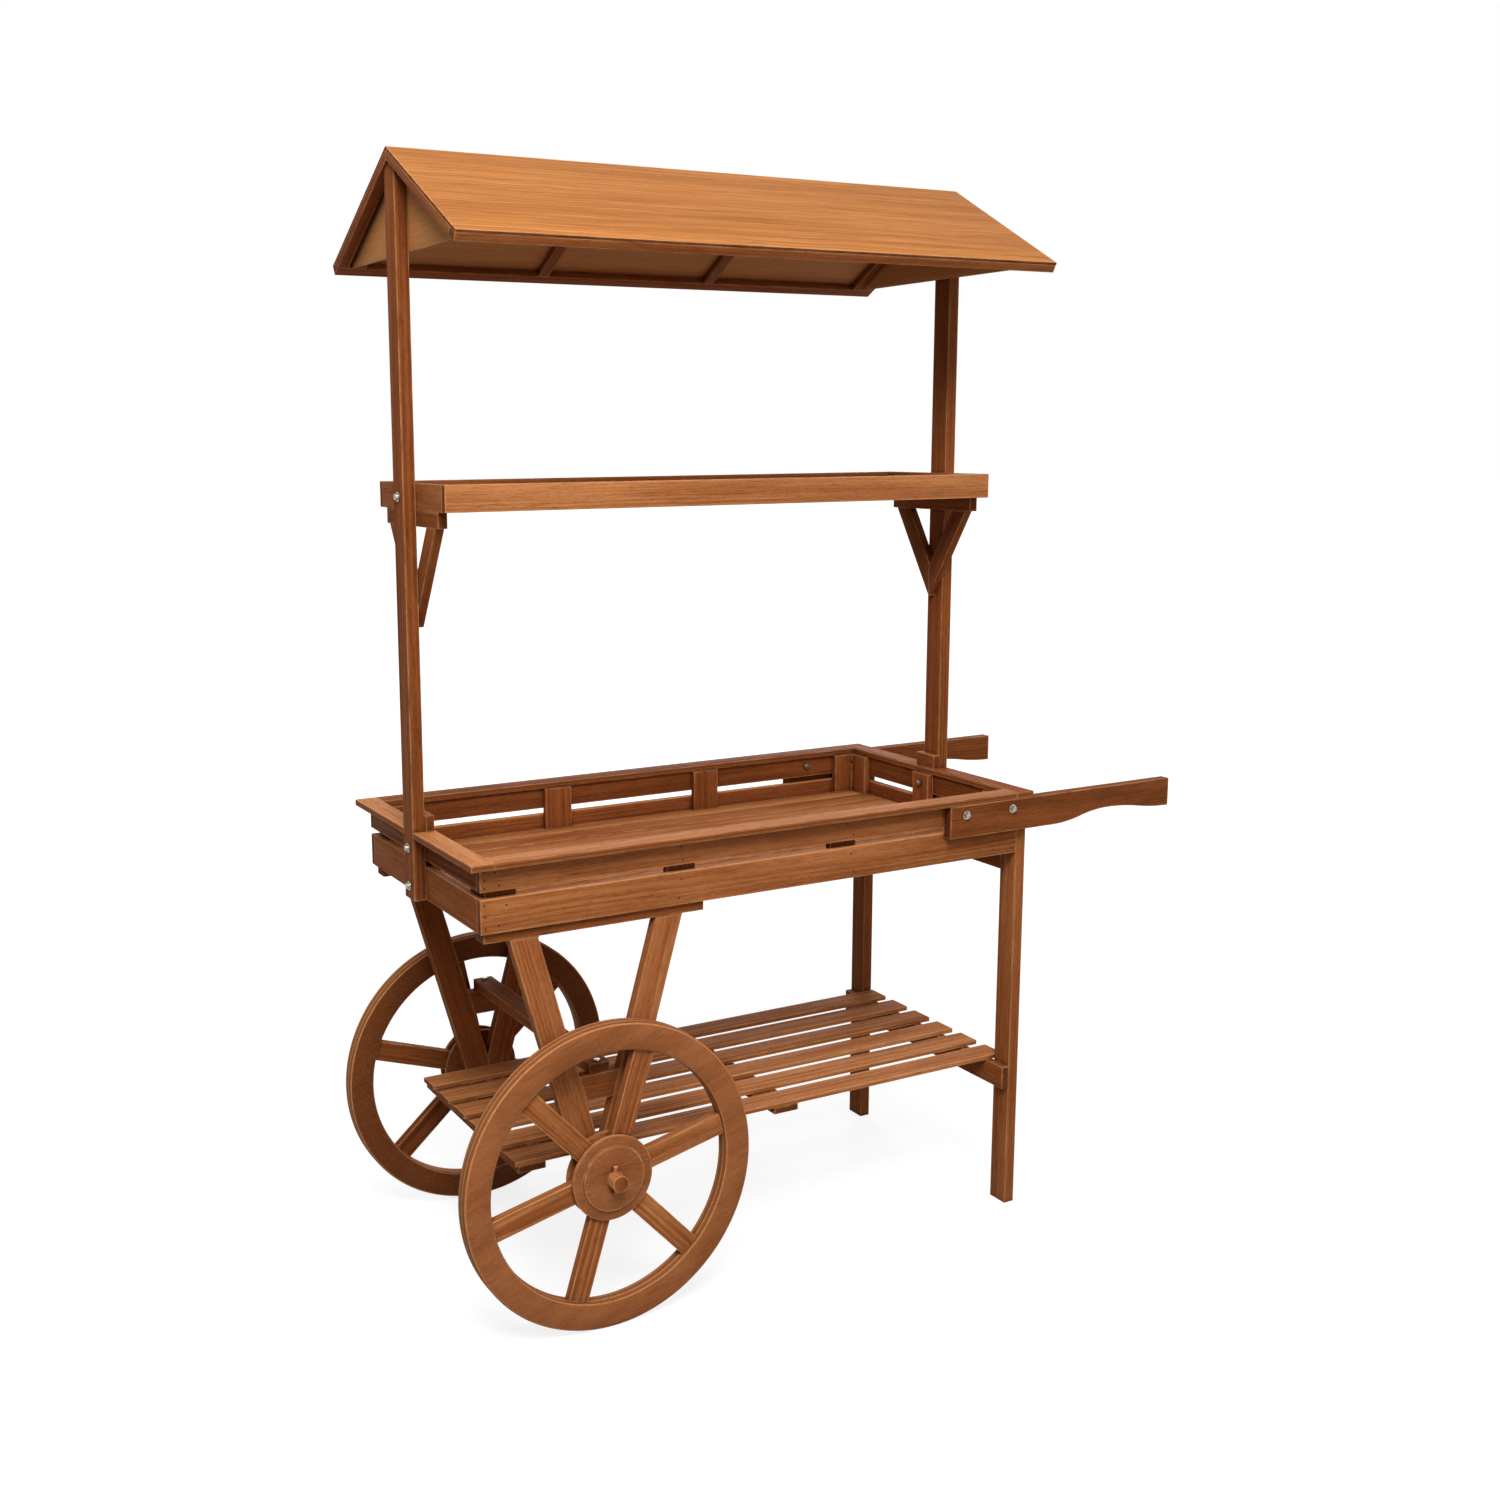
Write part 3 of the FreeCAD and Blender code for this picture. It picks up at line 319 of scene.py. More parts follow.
def fir_end_grain():
    """The sawn end of a board: the rings cut across, dark with soaked-up stain."""
    made, tree, shader = new_material("fir_end_grain")
    place = board_place(tree)
    flat = stretched(tree, place, (0, 1, 1))
    figure = use(tree, FIGURE, Place=flat, Ring_Width=0.0036, Ring_Depth=0.9, Wander=0.004)
    pores = cloud(tree, place, (0, 1500, 1500), 2.0, 0.7)
    lighter = step_up(tree, board_tone_and_light(tree), 0.2, 1.0, 0.0, 0.6)
    colour = blended(tree, lighter, FIR_END, FIR_MIDDLE)
    colour = shaded(tree, colour, figure.outputs["Grain"], GRAIN_SHADE)
    colour = shaded(tree, colour, step_up(tree, pores, 0.5, 0.7, 0.0, 0.6), PORE_SHADE)
    worn_and_shaded(tree, shader, colour, place, 0.7)
    rough_and_raised(tree, shader, pores, 0.6, 0.8, pores, 0.0003)
    return made


def plywood_face(name, face, shade, rub_and_highlight):
    """A sanded plywood face: faint long figure under thin, cloudy stain."""
    made, tree, shader = new_material(name)
    place = board_place(tree)
    figure = use(tree, FIGURE, Place=place, Ring_Width=0.012, Ring_Depth=0.3, Wander=0.05)
    grain, pores = figure.outputs["Grain"], figure.outputs["Pores"]
    cloudy = cloud(tree, place, (9, 22, 22), 4.0, 0.6)
    colour = blended(tree, step_up(tree, cloudy, 0.32, 0.7), face, shade)
    # The tone darkens the face toward dark fir: painted shade on the rear wheel.
    colour = blended(tree, step_up(tree, board_tone_and_light(tree), 0.5, 0.0), colour, FIR_DARK)
    colour = shaded(tree, colour, sum_of(tree, "MULTIPLY", grain, 0.32), GRAIN_SHADE)
    colour = shaded(tree, colour, sum_of(tree, "MULTIPLY", pores, 0.2), PORE_SHADE)
    flecks = step_up(tree, cloud(tree, place, (230, 300, 300), 3.0, 0.75), 0.56, 0.74)
    colour = blended(tree, sum_of(tree, "MULTIPLY", flecks, 0.26), colour, FIR_RUBBED_AND_HIGHLIT)
    dull = step_up(tree, cloud(tree, place, (250, 210, 210), 4.0, 0.75), 0.52, 0.72)
    colour = shaded(tree, colour, sum_of(tree, "MULTIPLY", dull, 0.5), GRAIN_SHADE)
    worn_and_shaded(tree, shader, colour, place, rub_and_highlight)
    rough_and_raised(tree, shader, grain, 0.56, 0.74, pores, 0.0003)
    return made


def plywood_edge(name, layer, glue, thickness):
    """The layers of plywood on a cut edge, with dark glue lines between them."""
    made, tree, shader = new_material(name)
    place = board_place(tree)
    through = put(tree, "ShaderNodeSeparateXYZ", Vector=place).outputs[2]
    ragged = cloud(tree, place, (60, 60, 0), 2.0)
    through = sum_of(tree, "MULTIPLY_ADD", ragged, 0.0008, through)
    turn = sum_of(tree, "FRACT", sum_of(tree, "DIVIDE", through, thickness))
    line = step_up(tree, sum_of(tree, "PINGPONG", turn, 0.5), 0.0, 0.14, 1.0, 0.0)
    crossed = step_up(tree, sum_of(tree, "FRACT", sum_of(tree, "DIVIDE", through, 2 * thickness)), 0.45, 0.55)
    fibres = cloud(tree, place, (260, 260, 900), 3.0, 0.6)
    colour = blended(tree, sum_of(tree, "MULTIPLY", crossed, 0.55), layer, glue)
    colour = blended(tree, step_up(tree, fibres, 0.45, 0.7, 0.0, 0.45), colour, glue)
    colour = blended(tree, sum_of(tree, "MULTIPLY", line, 0.85), colour, GRIME_AND_SHADE)
    worn_and_shaded(tree, shader, colour, place, 0.7)
    rough_and_raised(tree, shader, fibres, 0.52, 0.72, sum_of(tree, "SUBTRACT", fibres, line), 0.0004)
    return made


def roof_veneer():
    """Sliced veneer on the roof panels: fine wavy dark lines, pale bands and a few specks."""
    made, tree, shader = new_material("roof_veneer")
    place = board_place(tree)
    figure = use(tree, FIGURE, Place=place, Ring_Width=0.0085, Ring_Depth=0.42, Wander=0.09)
    grain, pores = figure.outputs["Grain"], figure.outputs["Pores"]
    broad = cloud(tree, place, (0.9, 12, 12), 3.0, 0.5)
    colour = blended(tree, step_up(tree, broad, 0.34, 0.66), VENEER_MIDDLE, VENEER_PALE)
    # The veneer pales as the tone rises; the high tone on the undersides and gables is painted light.
    colour = blended(tree, step_up(tree, board_tone_and_light(tree), 0.5, 1.0), colour, VENEER_PALEST)
    bent = wavy(tree, place, 0.014)
    lines = step_up(tree, cloud(tree, bent, (5.5, 440, 440), 3.0, 0.6), 0.44, 0.66)
    faded = sum_of(tree, "MULTIPLY", board_tone_and_light(tree), -0.8)
    strength = sum_of(tree, "ADD", faded, 0.96, clamp=True)
    colour = blended(tree, sum_of(tree, "MULTIPLY", lines, strength), colour, VENEER_DARK)
    glints = step_up(tree, cloud(tree, bent, (3.0, 260, 260), 2.0), 0.5, 0.7, 0.0, 0.4)
    colour = blended(tree, glints, colour, VENEER_PALEST)
    colour = shaded(tree, colour, sum_of(tree, "MULTIPLY", grain, 0.24), GRAIN_SHADE)
    dots = step_up(tree, cloud(tree, place, (240, 420, 420), 3.0, 0.7), 0.56, 0.72, 0.0, 0.45)
    colour = shaded(tree, colour, dots, GRAIN_SHADE)
    colour = shaded(tree, colour, sum_of(tree, "MULTIPLY", pores, 0.2), PORE_SHADE)
    specks = put(tree, "ShaderNodeTexVoronoi", Vector=stretched(tree, place, (14, 22, 22)), Scale=1.0)
    split = put(tree, "ShaderNodeSeparateColor", Color=specks.outputs["Color"])
    rare = step_up(tree, split.outputs[1], 0.86, 0.88)
    speck = sum_of(tree, "MULTIPLY", step_up(tree, specks.outputs["Distance"], 0.012, 0.04, 1.0, 0.0), rare)
    colour = blended(tree, sum_of(tree, "MULTIPLY", speck, 0.8), colour, KNOT)
    worn_and_shaded(tree, shader, colour, place, 0.7, shade_and_grime=0.6)
    rough_and_raised(tree, shader, grain, 0.54, 0.7, pores, 0.0002)
    return made


def turned_wood(name, colour_pale, colour_dark):
    """Round stock, such as the axle: straight fibres and no rings on its side."""
    made, tree, shader = new_material(name)
    place = board_place(tree)
    fibres = cloud(tree, place, (14, 420, 420), 3.0, 0.6)
    patches = cloud(tree, place, (6, 40, 40), 2.0)
    colour = blended(tree, step_up(tree, patches, 0.3, 0.7), colour_pale, colour_dark)
    colour = blended(tree, step_up(tree, fibres, 0.46, 0.7, 0.0, 0.5), colour, FIR_DARK)
    worn_and_shaded(tree, shader, colour, place, 0.8)
    rough_and_raised(tree, shader, fibres, 0.48, 0.66, fibres, 0.0003)
    return made


def zinc():
    """Dull zinc plate on bolts, washers and nuts, with painted shade and some stain in its corners."""
    made, tree, shader = new_material("zinc_plate")
    place = board_place(tree)
    blotch = cloud(tree, place, (300, 300, 300), 3.0, 0.6)
    colour = blended(tree, step_up(tree, blotch, 0.35, 0.65), ZINC, ZINC_DULL)
    # Painted shade with some stain in the corners, and pale edges that are partly painted highlight.
    worn_and_shaded(tree, shader, colour, place, 0.5, rubbed_and_highlit_colour=ZINC, shade_and_grime=0.85)
    shader.inputs["Metallic"].default_value = 1.0
    shader.inputs["Specular IOR Level"].default_value = 0.5
    rough_and_raised(tree, shader, blotch, 0.3, 0.5, blotch, 0.00005)
    return made


def brad_steel_and_socket_shade():
    """Sunk brad heads under filler and stain; the same dark is painted shade in the bolt sockets."""
    made, tree, shader = new_material("brad_steel_and_socket_shade")
    place = board_place(tree)
    blotch = cloud(tree, place, (500, 500, 500), 2.0)
    tree.links.new(blended(tree, blotch, BRAD_AND_SOCKET_SHADE, FIR_DARK), shader.inputs["Base Color"])
    rough_and_raised(tree, shader, blotch, 0.5, 0.7, blotch, 0.0001)
    return made


FIR = stained_fir("stained_fir", 0.0052, 0.5)
FIR_FINE = stained_fir("stained_fir_fine", 0.0036, 0.42)
# The spokes' pale edges are strongest: partly rubbed, partly painted highlight.
SPOKE_FIR = stained_fir("spoke_fir", 0.0062, 0.95, rub_and_highlight=1.0)
SLAT_FIR = stained_fir("slat_fir", 0.0048, 0.9, rub_and_highlight=1.0)
END_GRAIN = fir_end_grain()
RIM_EDGE = plywood_edge("tray_rim_edge", FIR_MIDDLE, FIR_DARK, 0.0024)
WHEEL_PLY = plywood_face("wheel_plywood", PLY_FACE, PLY_SHADE, 0.9)
WHEEL_EDGE = plywood_edge("wheel_plywood_edge", PLY_LAYER, FIR_DARK, 0.0052)
VENEER = roof_veneer()
VENEER_EDGE = plywood_edge("roof_veneer_edge", VENEER_LAYER, PLY_GLUE, 0.0013)
AXLE_WOOD = turned_wood("axle_wood", FIR_PALE, FIR_MIDDLE)
AXLE_END = turned_wood("axle_end", FIR_MIDDLE, FIR_END)
RAW_END = turned_wood("raw_round_end", RAW_WOOD, FIR_PALE)
ZINC_PLATE = zinc()
BRAD_STEEL_AND_SOCKET_SHADE = brad_steel_and_socket_shade()

# How light each part is, from 0 for dark to 1 for pale: partly the stain's own tone and partly painted light
# and shade, with parts in shade, such as the rear wheel and the board under the rim at the wheel end, painted
# darker, and lit fronts and the shaded gables painted paler.
TONE_LIGHT_AND_SHADE = {
    "planter_board_front": 0.84, "planter_board": 0.6, "planter_floor": 0.5,
    "post": 0.42, "post_handle_end": 0.5, "handle": 0.36, "leg_rear": 0.46, "leg": 0.56,
    "tray_rim_wheel_end": 1.05, "tray_rim_front": 0.8, "tray_rim": 0.4,
    "tray_upper_board_front": 0.7, "tray_upper_board": 0.3, "tray_upper_board_wheel_end": 0.16,
    "tray_lower_board_front": 0.66, "tray_lower_board_wheel_end": 0.44, "tray_lower_board": 0.36,
    "tray_battens": 0.36, "tray_floor_slats": 0.8,
    "axle_strut_front": 0.62, "axle_strut": 0.36, "side_beam": 0.4,
    "low_shelf_slats": 0.86, "low_shelf_bearers": 0.3, "leg_low_rail": 0.3,
    "bracket": 0.36, "roof_rafters": 0.44, "roof_eave_battens": 0.54,
    "wheel_spokes_front": 0.74, "wheel_spokes_rear": 0.3,
    "roof_panel": 0.5, "gable_panel": 1.0,
}
# The rear wheel's low tone is painted shade.
WHEEL_TONE_AND_SHADE = {"front": 0.5, "rear": 0.16}


def tone_of(node):
    """The tone on a node, the stain's with painted light and shade in it, with a little luck for each of its
    boards.
    """
    names = [name for name in TONE_LIGHT_AND_SHADE if node.startswith(name)]
    return (TONE_LIGHT_AND_SHADE[max(names, key=len)] if names else 0.45) + luck.uniform(-0.07, 0.07)


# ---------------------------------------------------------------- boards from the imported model

def solids_of(node):
    """The closed solids of a node, each as a list of faces made of corner points."""
    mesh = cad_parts[node].data
    found, faces, unmatched = [], [], set()
    for polygon in mesh.polygons:
        corners = [tuple(round(c, 6) for c in mesh.vertices[i].co) for i in polygon.vertices]
        faces.append(corners)
        for pair in zip(corners, corners[1:] + corners[:1]):
            unmatched ^= {frozenset(pair)}
        if not unmatched:
            found.append(faces)
            faces = []
    if faces:
        raise ValueError(f"{node} has a solid that isn't closed")
    return found


def add_faces(work, faces):
    """Put the faces of one solid in a mesh, welded, with flat faces whole again."""
    made = {}
    for corners in faces:
        for corner in corners:
            if corner not in made:
                made[corner] = work.verts.new(corner)
        if len({made[corner] for corner in corners}) > 2:
            work.faces.new([made[corner] for corner in corners])
    work.normal_update()
    bmesh.ops.dissolve_limit(work, angle_limit=math.radians(1), verts=work.verts, edges=work.edges)


def ease_edges(work, ease):
    """Round the sharp edges of a piece a little, as sanding does."""
    sharp = [edge for edge in work.edges if edge.is_manifold and edge.calc_face_angle() > math.radians(32)]
    bmesh.ops.bevel(work, geom=sharp, offset=ease, segments=2, profile=0.6, affect="EDGES",
                    clamp_overlap=True)


def grain_axes(work):
    """The ways along a board, across its face and through it, from its longest edge and widest face."""
    longest = max(work.edges, key=lambda edge: edge.calc_length())
    along = (longest.verts[1].co - longest.verts[0].co).normalized()
    sides = [face for face in work.faces if abs(face.normal.dot(along)) < 0.2]
    through = max(sides, key=lambda face: face.calc_area()).normal.copy()
    return along, through.cross(along).normalized(), through


def mark_boards(work, axes, span, tone_value):
    """Write each corner's place on its board, with a chance heart for the rings, and the tone."""
    place = work.verts.layers.float_vector["board_place"]
    tone = work.verts.layers.float["board_tone_and_light"]
    middle = sum((vert.co for vert in work.verts), Vector()) / len(work.verts)
    heart = Vector((luck.uniform(0, 30), luck.uniform(-span, span), luck.uniform(0.4, 1.4) * span))
    for vert in work.verts:
        off = vert.co - middle
        vert[place] = heart + Vector([off.dot(axis) for axis in axes])
        vert[tone] = tone_value


def new_work():
    """An empty mesh to work on, with the two values that every timber carries."""
    work = bmesh.new()
    work.verts.layers.float_vector.new("board_place")
    work.verts.layers.float.new("board_tone_and_light")
    return work


def finished(name, works, materials, body):
    """Join worked meshes into one piece that rides on a body."""
    mesh = bpy.data.meshes.new(name)
    whole = new_work()
    for work in works:
        part = bpy.data.meshes.new("part")
        work.to_mesh(part)
        work.free()
        whole.from_mesh(part)
        bpy.data.meshes.remove(part)
    whole.to_mesh(mesh)
    whole.free()
    for polygon in mesh.polygons:
        polygon.use_smooth = True
    mesh.set_sharp_from_angle(angle=math.radians(24))
    for material in materials:
        mesh.materials.append(material)
    piece = bpy.data.objects.new(name, mesh)
    bpy.context.scene.collection.objects.link(piece)
    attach(piece, body)
    return piece


def boards(node, material, ease=1.2 * MM, end=END_GRAIN, span=0.045, body=CART, thin_end=False):
    """Replace a node's plain solids by boards with eased edges, grain and end grain."""
    works = []
    for faces in solids_of(node):
        work = new_work()
        add_faces(work, faces)
        axes = grain_axes(work)
        ease_edges(work, ease)
        mark_boards(work, axes, span, tone_of(node))
        for face in work.faces:
            across_grain = abs(face.normal.dot(axes[0])) > 0.8
            on_edge = thin_end and abs(face.normal.dot(axes[2])) < 0.8
            face.material_index = 1 if across_grain or on_edge else 0
        works.append(work)
    piece = finished(f"{node}_dressed", works, [material, end], body)
    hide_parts(node)
    return piece


def paint_light_on_faces(piece, rise, tone_value):
    """Give the faces that look up (rise 1) or down (rise -1) a tone of their own, which is painted light: a
    paler tone on tops that catch light and on undersides that sit in shade.
    """
    tones = piece.data.attributes["board_tone_and_light"].data
    for polygon in piece.data.polygons:
        if polygon.normal.z * rise > 0.5:
            for corner in polygon.vertices:
                tones[corner].value = tone_value


def roof_panels():
    """Veneered panels whose undersides are painted paler: painted light that lifts their shade."""
    for side in OUTWARD:
        piece = boards(f"roof_panel_{side}", VENEER, 0.5 * MM, end=VENEER_EDGE, thin_end=True)
        # Painted light: the undersides get a pale tone to lift their shade.
        paint_light_on_faces(piece, -1, 0.98)


# ---------------------------------------------------------------- turned pieces

ROUND_STEPS = 192
RIM_WIDTH = 43 * MM
RIM_SLANT = 2.5 * MM
FACE_SPAN = 0.05
ROUND_SPAN = 0.02
ROUND_TONE = 0.7
METAL_TONE = 0.5


def lathe(outline, centre):
    """Turn an outline of radius and place along Y round a centre; each point names its material."""
    work = new_work()
    rings = []
    for radius, y, _ in outline:
        ring = []
        for step in range(ROUND_STEPS):
            angle = 2 * math.pi * step / ROUND_STEPS
            spoke = Vector((radius * math.cos(angle), y, radius * math.sin(angle)))
            ring.append(work.verts.new(centre + spoke))
        rings.append(ring)
    for index, ring in enumerate(rings):
        after = rings[(index + 1) % len(rings)]
        for step in range(ROUND_STEPS):
            onward = (step + 1) % ROUND_STEPS
            face = work.faces.new([ring[step], ring[onward], after[onward], after[step]])
            face.material_index = outline[index][2]
    bmesh.ops.recalc_face_normals(work, faces=work.faces)
    return work


def eased_outline(corners, ease):
    """An outline with each corner cut back on both sides; a corner keeps its stretch's material."""
    made = []
    for index, (radius, y, slot) in enumerate(corners):
        spot = Vector((radius, y))
        before = Vector(corners[index - 1][:2])
        after = Vector(corners[(index + 1) % len(corners)][:2])
        last_slot = corners[index - 1][2]
        for other, kept in ((before, slot), (after, slot)):
            way = other - spot
            cut = min(ease, way.length / 3)
            point = spot + way.normalized() * cut
            made.append((point.x, point.y, kept))
    return made


def wheel_rim(side):
    """A wheel rim cut from plywood, with its layers on the inner and outer edge."""
    node = f"wheel_rim_{side}"
    low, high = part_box(node)
    centre = (low + high) / 2
    outer, half = (high.z - low.z) / 2, (high.y - low.y) / 2
    inner = outer - RIM_WIDTH
    slant = RIM_SLANT
    outline = [
        (inner + slant, -half, 0), (outer - slant, -half, 1), (outer, slant - half, 1),
        (outer, half - slant, 1), (outer - slant, half, 0), (inner + slant, half, 1),
        (inner, half - slant, 1), (inner, slant - half, 1),
    ]
    work = lathe(eased_outline(outline, 0.5 * MM), centre)
    axes = (Vector((0.94, 0, 0.34)), Vector((-0.34, 0, 0.94)), ACROSS)
    mark_boards(work, axes, FACE_SPAN, WHEEL_TONE_AND_SHADE[side])
    piece = finished(f"{node}_dressed", [work], [WHEEL_PLY, WHEEL_EDGE], WHEELS[side])
    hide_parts(node)


def wheel_hub(side, which):
    """A turned hub disc: plywood on its faces, layers on its edge and a groove round the cap."""
    node = f"wheel_hub_{which}_{side}"
    works = []
    for faces in solids_of(node):
        work = new_work()
        add_faces(work, faces)
        ease_edges(work, 0.8 * MM)
        mark_boards(work, (ALONG, UP, ACROSS), FACE_SPAN, WHEEL_TONE_AND_SHADE[side])
        for face in work.faces:
            face.material_index = 0 if abs(face.normal.y) > 0.8 else 1
        works.append(work)
    piece = finished(f"{node}_dressed", works, [WHEEL_PLY, WHEEL_EDGE], WHEELS[side])
    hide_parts(node)


def wheels():
    for side in WHEELS:
        wheel_rim(side)
        for which in ("outer", "inner"):
            wheel_hub(side, which)
        boards(f"wheel_spokes_{side}", SPOKE_FIR, 1.4 * MM, body=WHEELS[side])


def round_stock(node, axes, material, end, ease):
    """A round bar or peg with eased ends."""
    works = []
    for faces in solids_of(node):
        work = new_work()
        add_faces(work, faces)
        ease_edges(work, ease)
        mark_boards(work, axes, ROUND_SPAN, ROUND_TONE)
        for face in work.faces:
            face.material_index = 1 if abs(face.normal.dot(axes[0])) > 0.6 else 0
        works.append(work)
    piece = finished(f"{node}_dressed", works, [material, end], CART)
    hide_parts(node)


# ---------------------------------------------------------------- fasteners

BRAD_RADIUS = 1.7 * MM
BRAD_DEPTH = 0.5 * MM
BRAD_INSET = 7 * MM
BRAD_DRIFT = 1.5 * MM
HEAD_AREAS = (5e-5, 7.7e-5)
HEAD_ROUNDING = 1.5 * MM
SOCKET_RING = 0.8 * MM
SOCKET_DEPTH = 1.6 * MM


def brads():
    """Brad heads at the ends of the tray's side boards and along the battens behind them."""
    works = []

    def brad(spot, facing):
        work = new_work()
        turn = facing.to_track_quat("Z", "Y").to_matrix().to_4x4()
        seat = Matrix.Translation(spot + facing * 0.1 * MM) @ turn
        bmesh.ops.create_cone(work, cap_ends=True, segments=12, radius1=BRAD_RADIUS,
                              radius2=BRAD_RADIUS * 0.7, depth=BRAD_DEPTH, matrix=seat)
        mark_boards(work, (ALONG, ACROSS, UP), FACE_SPAN, METAL_TONE)
        works.append(work)

    for side, outward in OUTWARD.items():
        facing = Vector((0, outward, 0))
        battens = side_battens(outward)
        for row in ("upper", "lower"):
            low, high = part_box(f"tray_{row}_board_{side}")
            face_y = low.y if outward < 0 else high.y
            rise = high.z - low.z
            for x in (low.x + BRAD_INSET, high.x - BRAD_INSET):
                for share in (0.16, 0.5, 0.84):
                    drift = luck.uniform(-BRAD_DRIFT, BRAD_DRIFT)
                    brad(Vector((x + drift, face_y, low.z + share * rise)), facing)
            for start, stop in battens:
                for share in (0.22, 0.78):
                    x = luck.uniform(start + 0.2 * (stop - start), stop - 0.2 * (stop - start))
                    brad(Vector((x, face_y, low.z + share * rise)), facing)
    piece = finished("brad_heads", works, [BRAD_STEEL_AND_SOCKET_SHADE], CART)


def side_battens(outward):
    """Where the upright battens behind one side of the tray start and stop."""
    spans = []
    for faces in solids_of("tray_battens"):
        xs = [corner[0] for corners in faces for corner in corners]
        ys = [corner[1] for corners in faces for corner in corners]
        if max(xs) - min(xs) > 2 * (max(ys) - min(ys)) and outward * sum(ys) > 0:
            spans.append((min(xs), max(xs)))
    return spans


def dome_head(work):
    """Round the head of a bolt or screw, and sink a socket in its middle, darkened as painted shade."""
    least, most = HEAD_AREAS
    tops = [face for face in work.faces if len(face.verts) > 20 and least < face.calc_area() < most]
    for top in tops:
        made = bmesh.ops.bevel(work, geom=list(top.edges), offset=HEAD_ROUNDING, segments=4,
                               profile=0.5, affect="EDGES", clamp_overlap=True)["faces"]
        flat = max(made + [top] if top.is_valid else made, key=lambda face: len(face.verts))
        middle = flat.calc_center_median()
        walls = bmesh.ops.inset_region(work, faces=[flat], thickness=SOCKET_RING)["faces"]
        for vert in flat.verts:
            vert.co = middle + (vert.co - middle) * 0.95 - flat.normal * SOCKET_DEPTH
        # The socket's walls and floor take the dark brad colour: painted shade in the recess.
        for face in walls + [flat]:
            face.material_index = 1


def bolts():
    """Bolts and screws: domed heads with a socket, dished washers and six-sided nuts."""
    works = []
    for faces in solids_of("bolts_and_screws"):
        work = new_work()
        add_faces(work, faces)
        ease_edges(work, 0.4 * MM)
        dome_head(work)
        mark_boards(work, (ALONG, ACROSS, UP), FACE_SPAN, METAL_TONE)
        works.append(work)
    piece = finished("bolts_and_screws_dressed", works, [ZINC_PLATE, BRAD_STEEL_AND_SOCKET_SHADE], CART)
    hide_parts("bolts_and_screws")


# ---------------------------------------------------------------- the whole cart

APART = ("wheel_", "roof_panel", "axle_pegs", "bolts_and_screws")
SLATTED = ("tray_floor_slats", "low_shelf_slats")
FINE = ("low_shelf", "planter", "roof_", "bracket", "handle")


def starts_with(node, words):
    return any(node.startswith(word) for word in words)


def dress_boards():
    for node in sorted(set(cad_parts) - {"axle"}):
        if starts_with(node, APART):
            continue
        if node.startswith("gable_panel"):
            boards(node, VENEER, 0.5 * MM, end=VENEER_EDGE, thin_end=True)
        elif node.startswith("tray_rim"):
            boards(node, FIR_FINE, 1.0 * MM, end=RIM_EDGE, thin_end=True)
        elif starts_with(node, SLATTED):
            boards(node, SLAT_FIR, 1.0 * MM)
        elif node.startswith("tray_lower_board"):
            # Painted light: the top edges of the lower boards, lit through the gap, get a paler tone.
            paint_light_on_faces(boards(node, FIR, 1.3 * MM), 1, 1.25)
        elif starts_with(node, FINE):
            boards(node, FIR_FINE, 1.0 * MM)
        else:
            boards(node, FIR, 1.3 * MM)


def dress_cart():
    dress_boards()
    roof_panels()
    wheels()
    round_stock("axle", (ACROSS, ALONG, UP), AXLE_WOOD, AXLE_END, 1.5 * MM)
    round_stock("axle_pegs", (UP, ALONG, ACROSS), AXLE_WOOD, RAW_END, 0.8 * MM)
    bolts()
    brads()


# ---------------------------------------------------------------- floor, light and camera

def seen_plainly(tree):
    """1 where the camera, a gloss or a glass looks at the background."""
    path = put(tree, "ShaderNodeLightPath")
    seen = sum_of(tree, "ADD", path.outputs["Is Camera Ray"], path.outputs["Is Glossy Ray"])
    return sum_of(tree, "ADD", seen, path.outputs["Is Transmission Ray"], clamp=True)


def studio_floor():
    """A white floor that keeps the cart's soft shadow."""
    mesh = bpy.data.meshes.new("studio_floor")
    work = bmesh.new()
    bmesh.ops.create_grid(work, x_segments=8, y_segments=8, size=40)
    work.to_mesh(mesh)
    work.free()
    floor = bpy.data.objects.new("studio_floor", mesh)
    bpy.context.scene.collection.objects.link(floor)
    made, tree, shader = new_material("studio_white")
    shader.inputs["Base Color"].default_value = (0.32, 0.32, 0.32, 1)
    shader.inputs["Roughness"].default_value = 0.9
    shader.inputs["Specular IOR Level"].default_value = 0.1
    place = put(tree, "ShaderNodeNewGeometry").outputs["Position"]
    away = put(tree, "ShaderNodeVectorMath", {"operation": "LENGTH"}, _0=place).outputs["Value"]
    glow = step_up(tree, away, 1.2, 5.0, 0.8, 1.0)
    shine = put(tree, "ShaderNodeEmission", Color=(1, 1, 1, 1), Strength=glow)
    none = put(tree, "ShaderNodeEmission", Color=(0, 0, 0, 1), Strength=0.0)
    extra = put(tree, "ShaderNodeMixShader", _0=seen_plainly(tree), _1=none.outputs[0], _2=shine.outputs[0])
    both = put(tree, "ShaderNodeAddShader", _0=shader.outputs[0], _1=extra.outputs[0])
    tree.links.new(both.outputs[0], tree.nodes["Material Output"].inputs["Surface"])
    mesh.materials.append(made)


def white_world():
    """Even fill light, and plain white where the camera, gloss or glass sees past the floor."""
    world = bpy.data.worlds.new("white_world")
    bpy.context.scene.world = world
    world.use_nodes = True
    tree = world.node_tree
    fill = tree.nodes["Background"]
    fill.inputs["Color"].default_value = (1, 1, 1, 1)
    fill.inputs["Strength"].default_value = 0.27
    white = put(tree, "ShaderNodeBackground", Color=(1, 1, 1, 1), Strength=1.0)
    shown = put(tree, "ShaderNodeMixShader", _0=seen_plainly(tree), _1=fill.outputs[0], _2=white.outputs[0])
    tree.links.new(shown.outputs[0], tree.nodes["World Output"].inputs["Surface"])


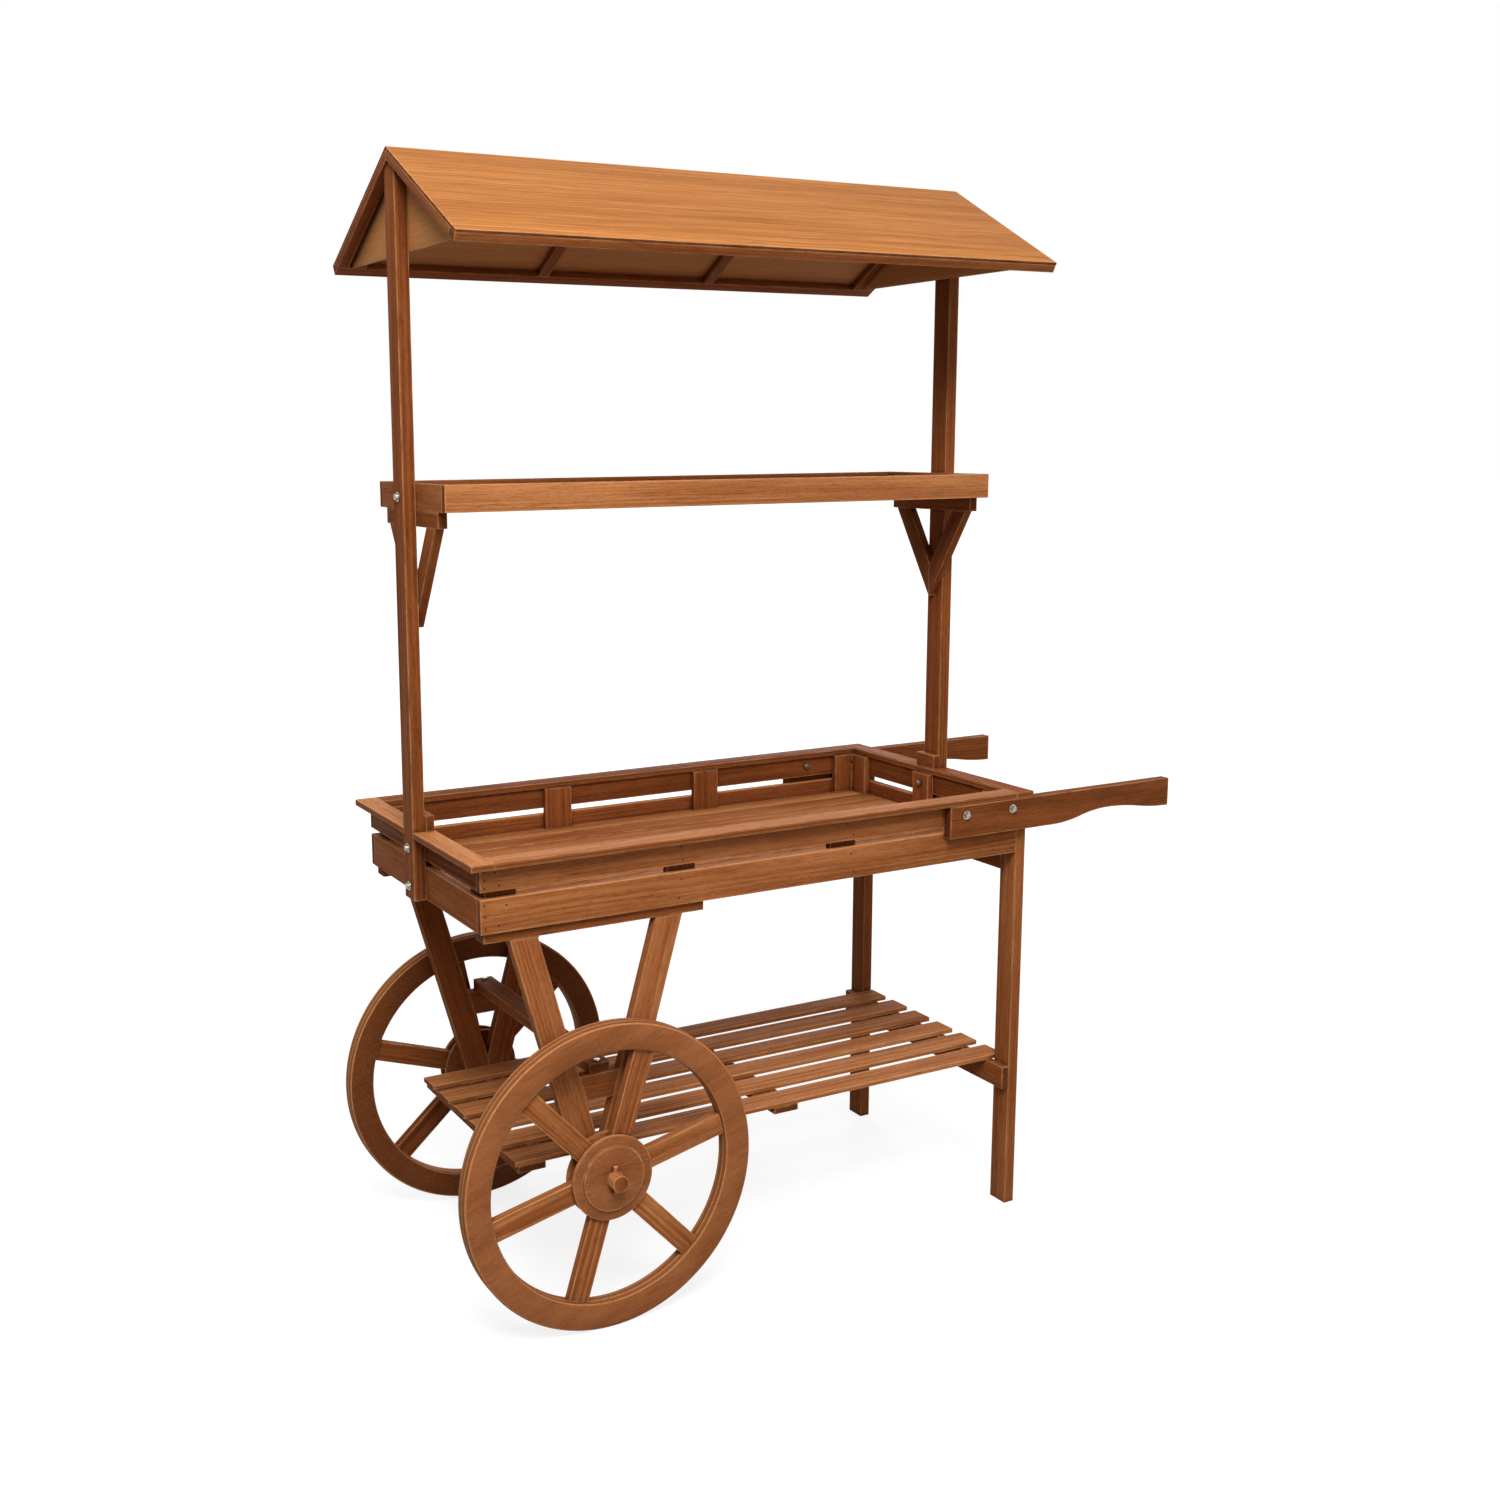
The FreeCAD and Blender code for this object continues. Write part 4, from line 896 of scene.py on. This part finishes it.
def soft_lamp(name, spot, aim, size, watts):
    """A square soft lamp that faces a point."""
    lamp = bpy.data.lights.new(name, "AREA")
    lamp.shape = "RECTANGLE"
    lamp.size, lamp.size_y = size
    lamp.energy = watts
    made = bpy.data.objects.new(name, lamp)
    made.location = spot
    made.rotation_euler = (Vector(aim) - Vector(spot)).to_track_quat("-Z", "Y").to_euler()
    bpy.context.scene.collection.objects.link(made)


def studio_lamps():
    middle = (0, 0, 0.95)
    soft_lamp("key_softbox", (-1.6, -2.5, 3.9), middle, (2.2, 1.8), 176)
    soft_lamp("top_softbox", (-0.2, 0.0, 4.6), middle, (3.0, 2.2), 30)
    soft_lamp("front_softbox", (0.4, -3.8, 1.7), middle, (2.4, 1.8), 22)
    soft_lamp("back_softbox", (1.9, 3.3, 2.0), middle, (2.4, 1.8), 48)


FOCAL_PIXELS = 1647.27
HEART_PIXEL = (631.63, 714.21)
CAMERA_SPOT = Vector((-1.5064, -2.3499, 1.3431))
CAMERA_TURN = 27.870
CAMERA_DIP = 9.519
CAMERA_ROLL = 0.381


def studio_camera():
    """The camera that took the picture, worked out from the cart's own corners in it."""
    turn, dip, roll = (math.radians(part) for part in (CAMERA_TURN, CAMERA_DIP, CAMERA_ROLL))
    forward = Vector((math.sin(turn) * math.cos(dip), math.cos(turn) * math.cos(dip), -math.sin(dip)))
    right = Vector((math.cos(turn), -math.sin(turn), 0))
    down = forward.cross(right)
    rolled_right = right * math.cos(roll) + down * math.sin(roll)
    rolled_up = right * math.sin(roll) - down * math.cos(roll)
    lens = bpy.data.cameras.new("studio_camera")
    lens.sensor_width = 36
    lens.lens = 36 * FOCAL_PIXELS / PICTURE
    lens.shift_x = (PICTURE / 2 - HEART_PIXEL[0]) / PICTURE
    lens.shift_y = (HEART_PIXEL[1] - PICTURE / 2) / PICTURE
    lens.clip_end = 200
    camera = bpy.data.objects.new("studio_camera", lens)
    bpy.context.scene.collection.objects.link(camera)
    turned = Matrix((rolled_right, rolled_up, -forward)).transposed().to_4x4()
    camera.matrix_world = Matrix.Translation(CAMERA_SPOT) @ turned
    bpy.context.scene.camera = camera


dress_cart()
studio_floor()
white_world()
studio_lamps()
studio_camera()
bpy.context.scene.view_settings.view_transform = "Standard"
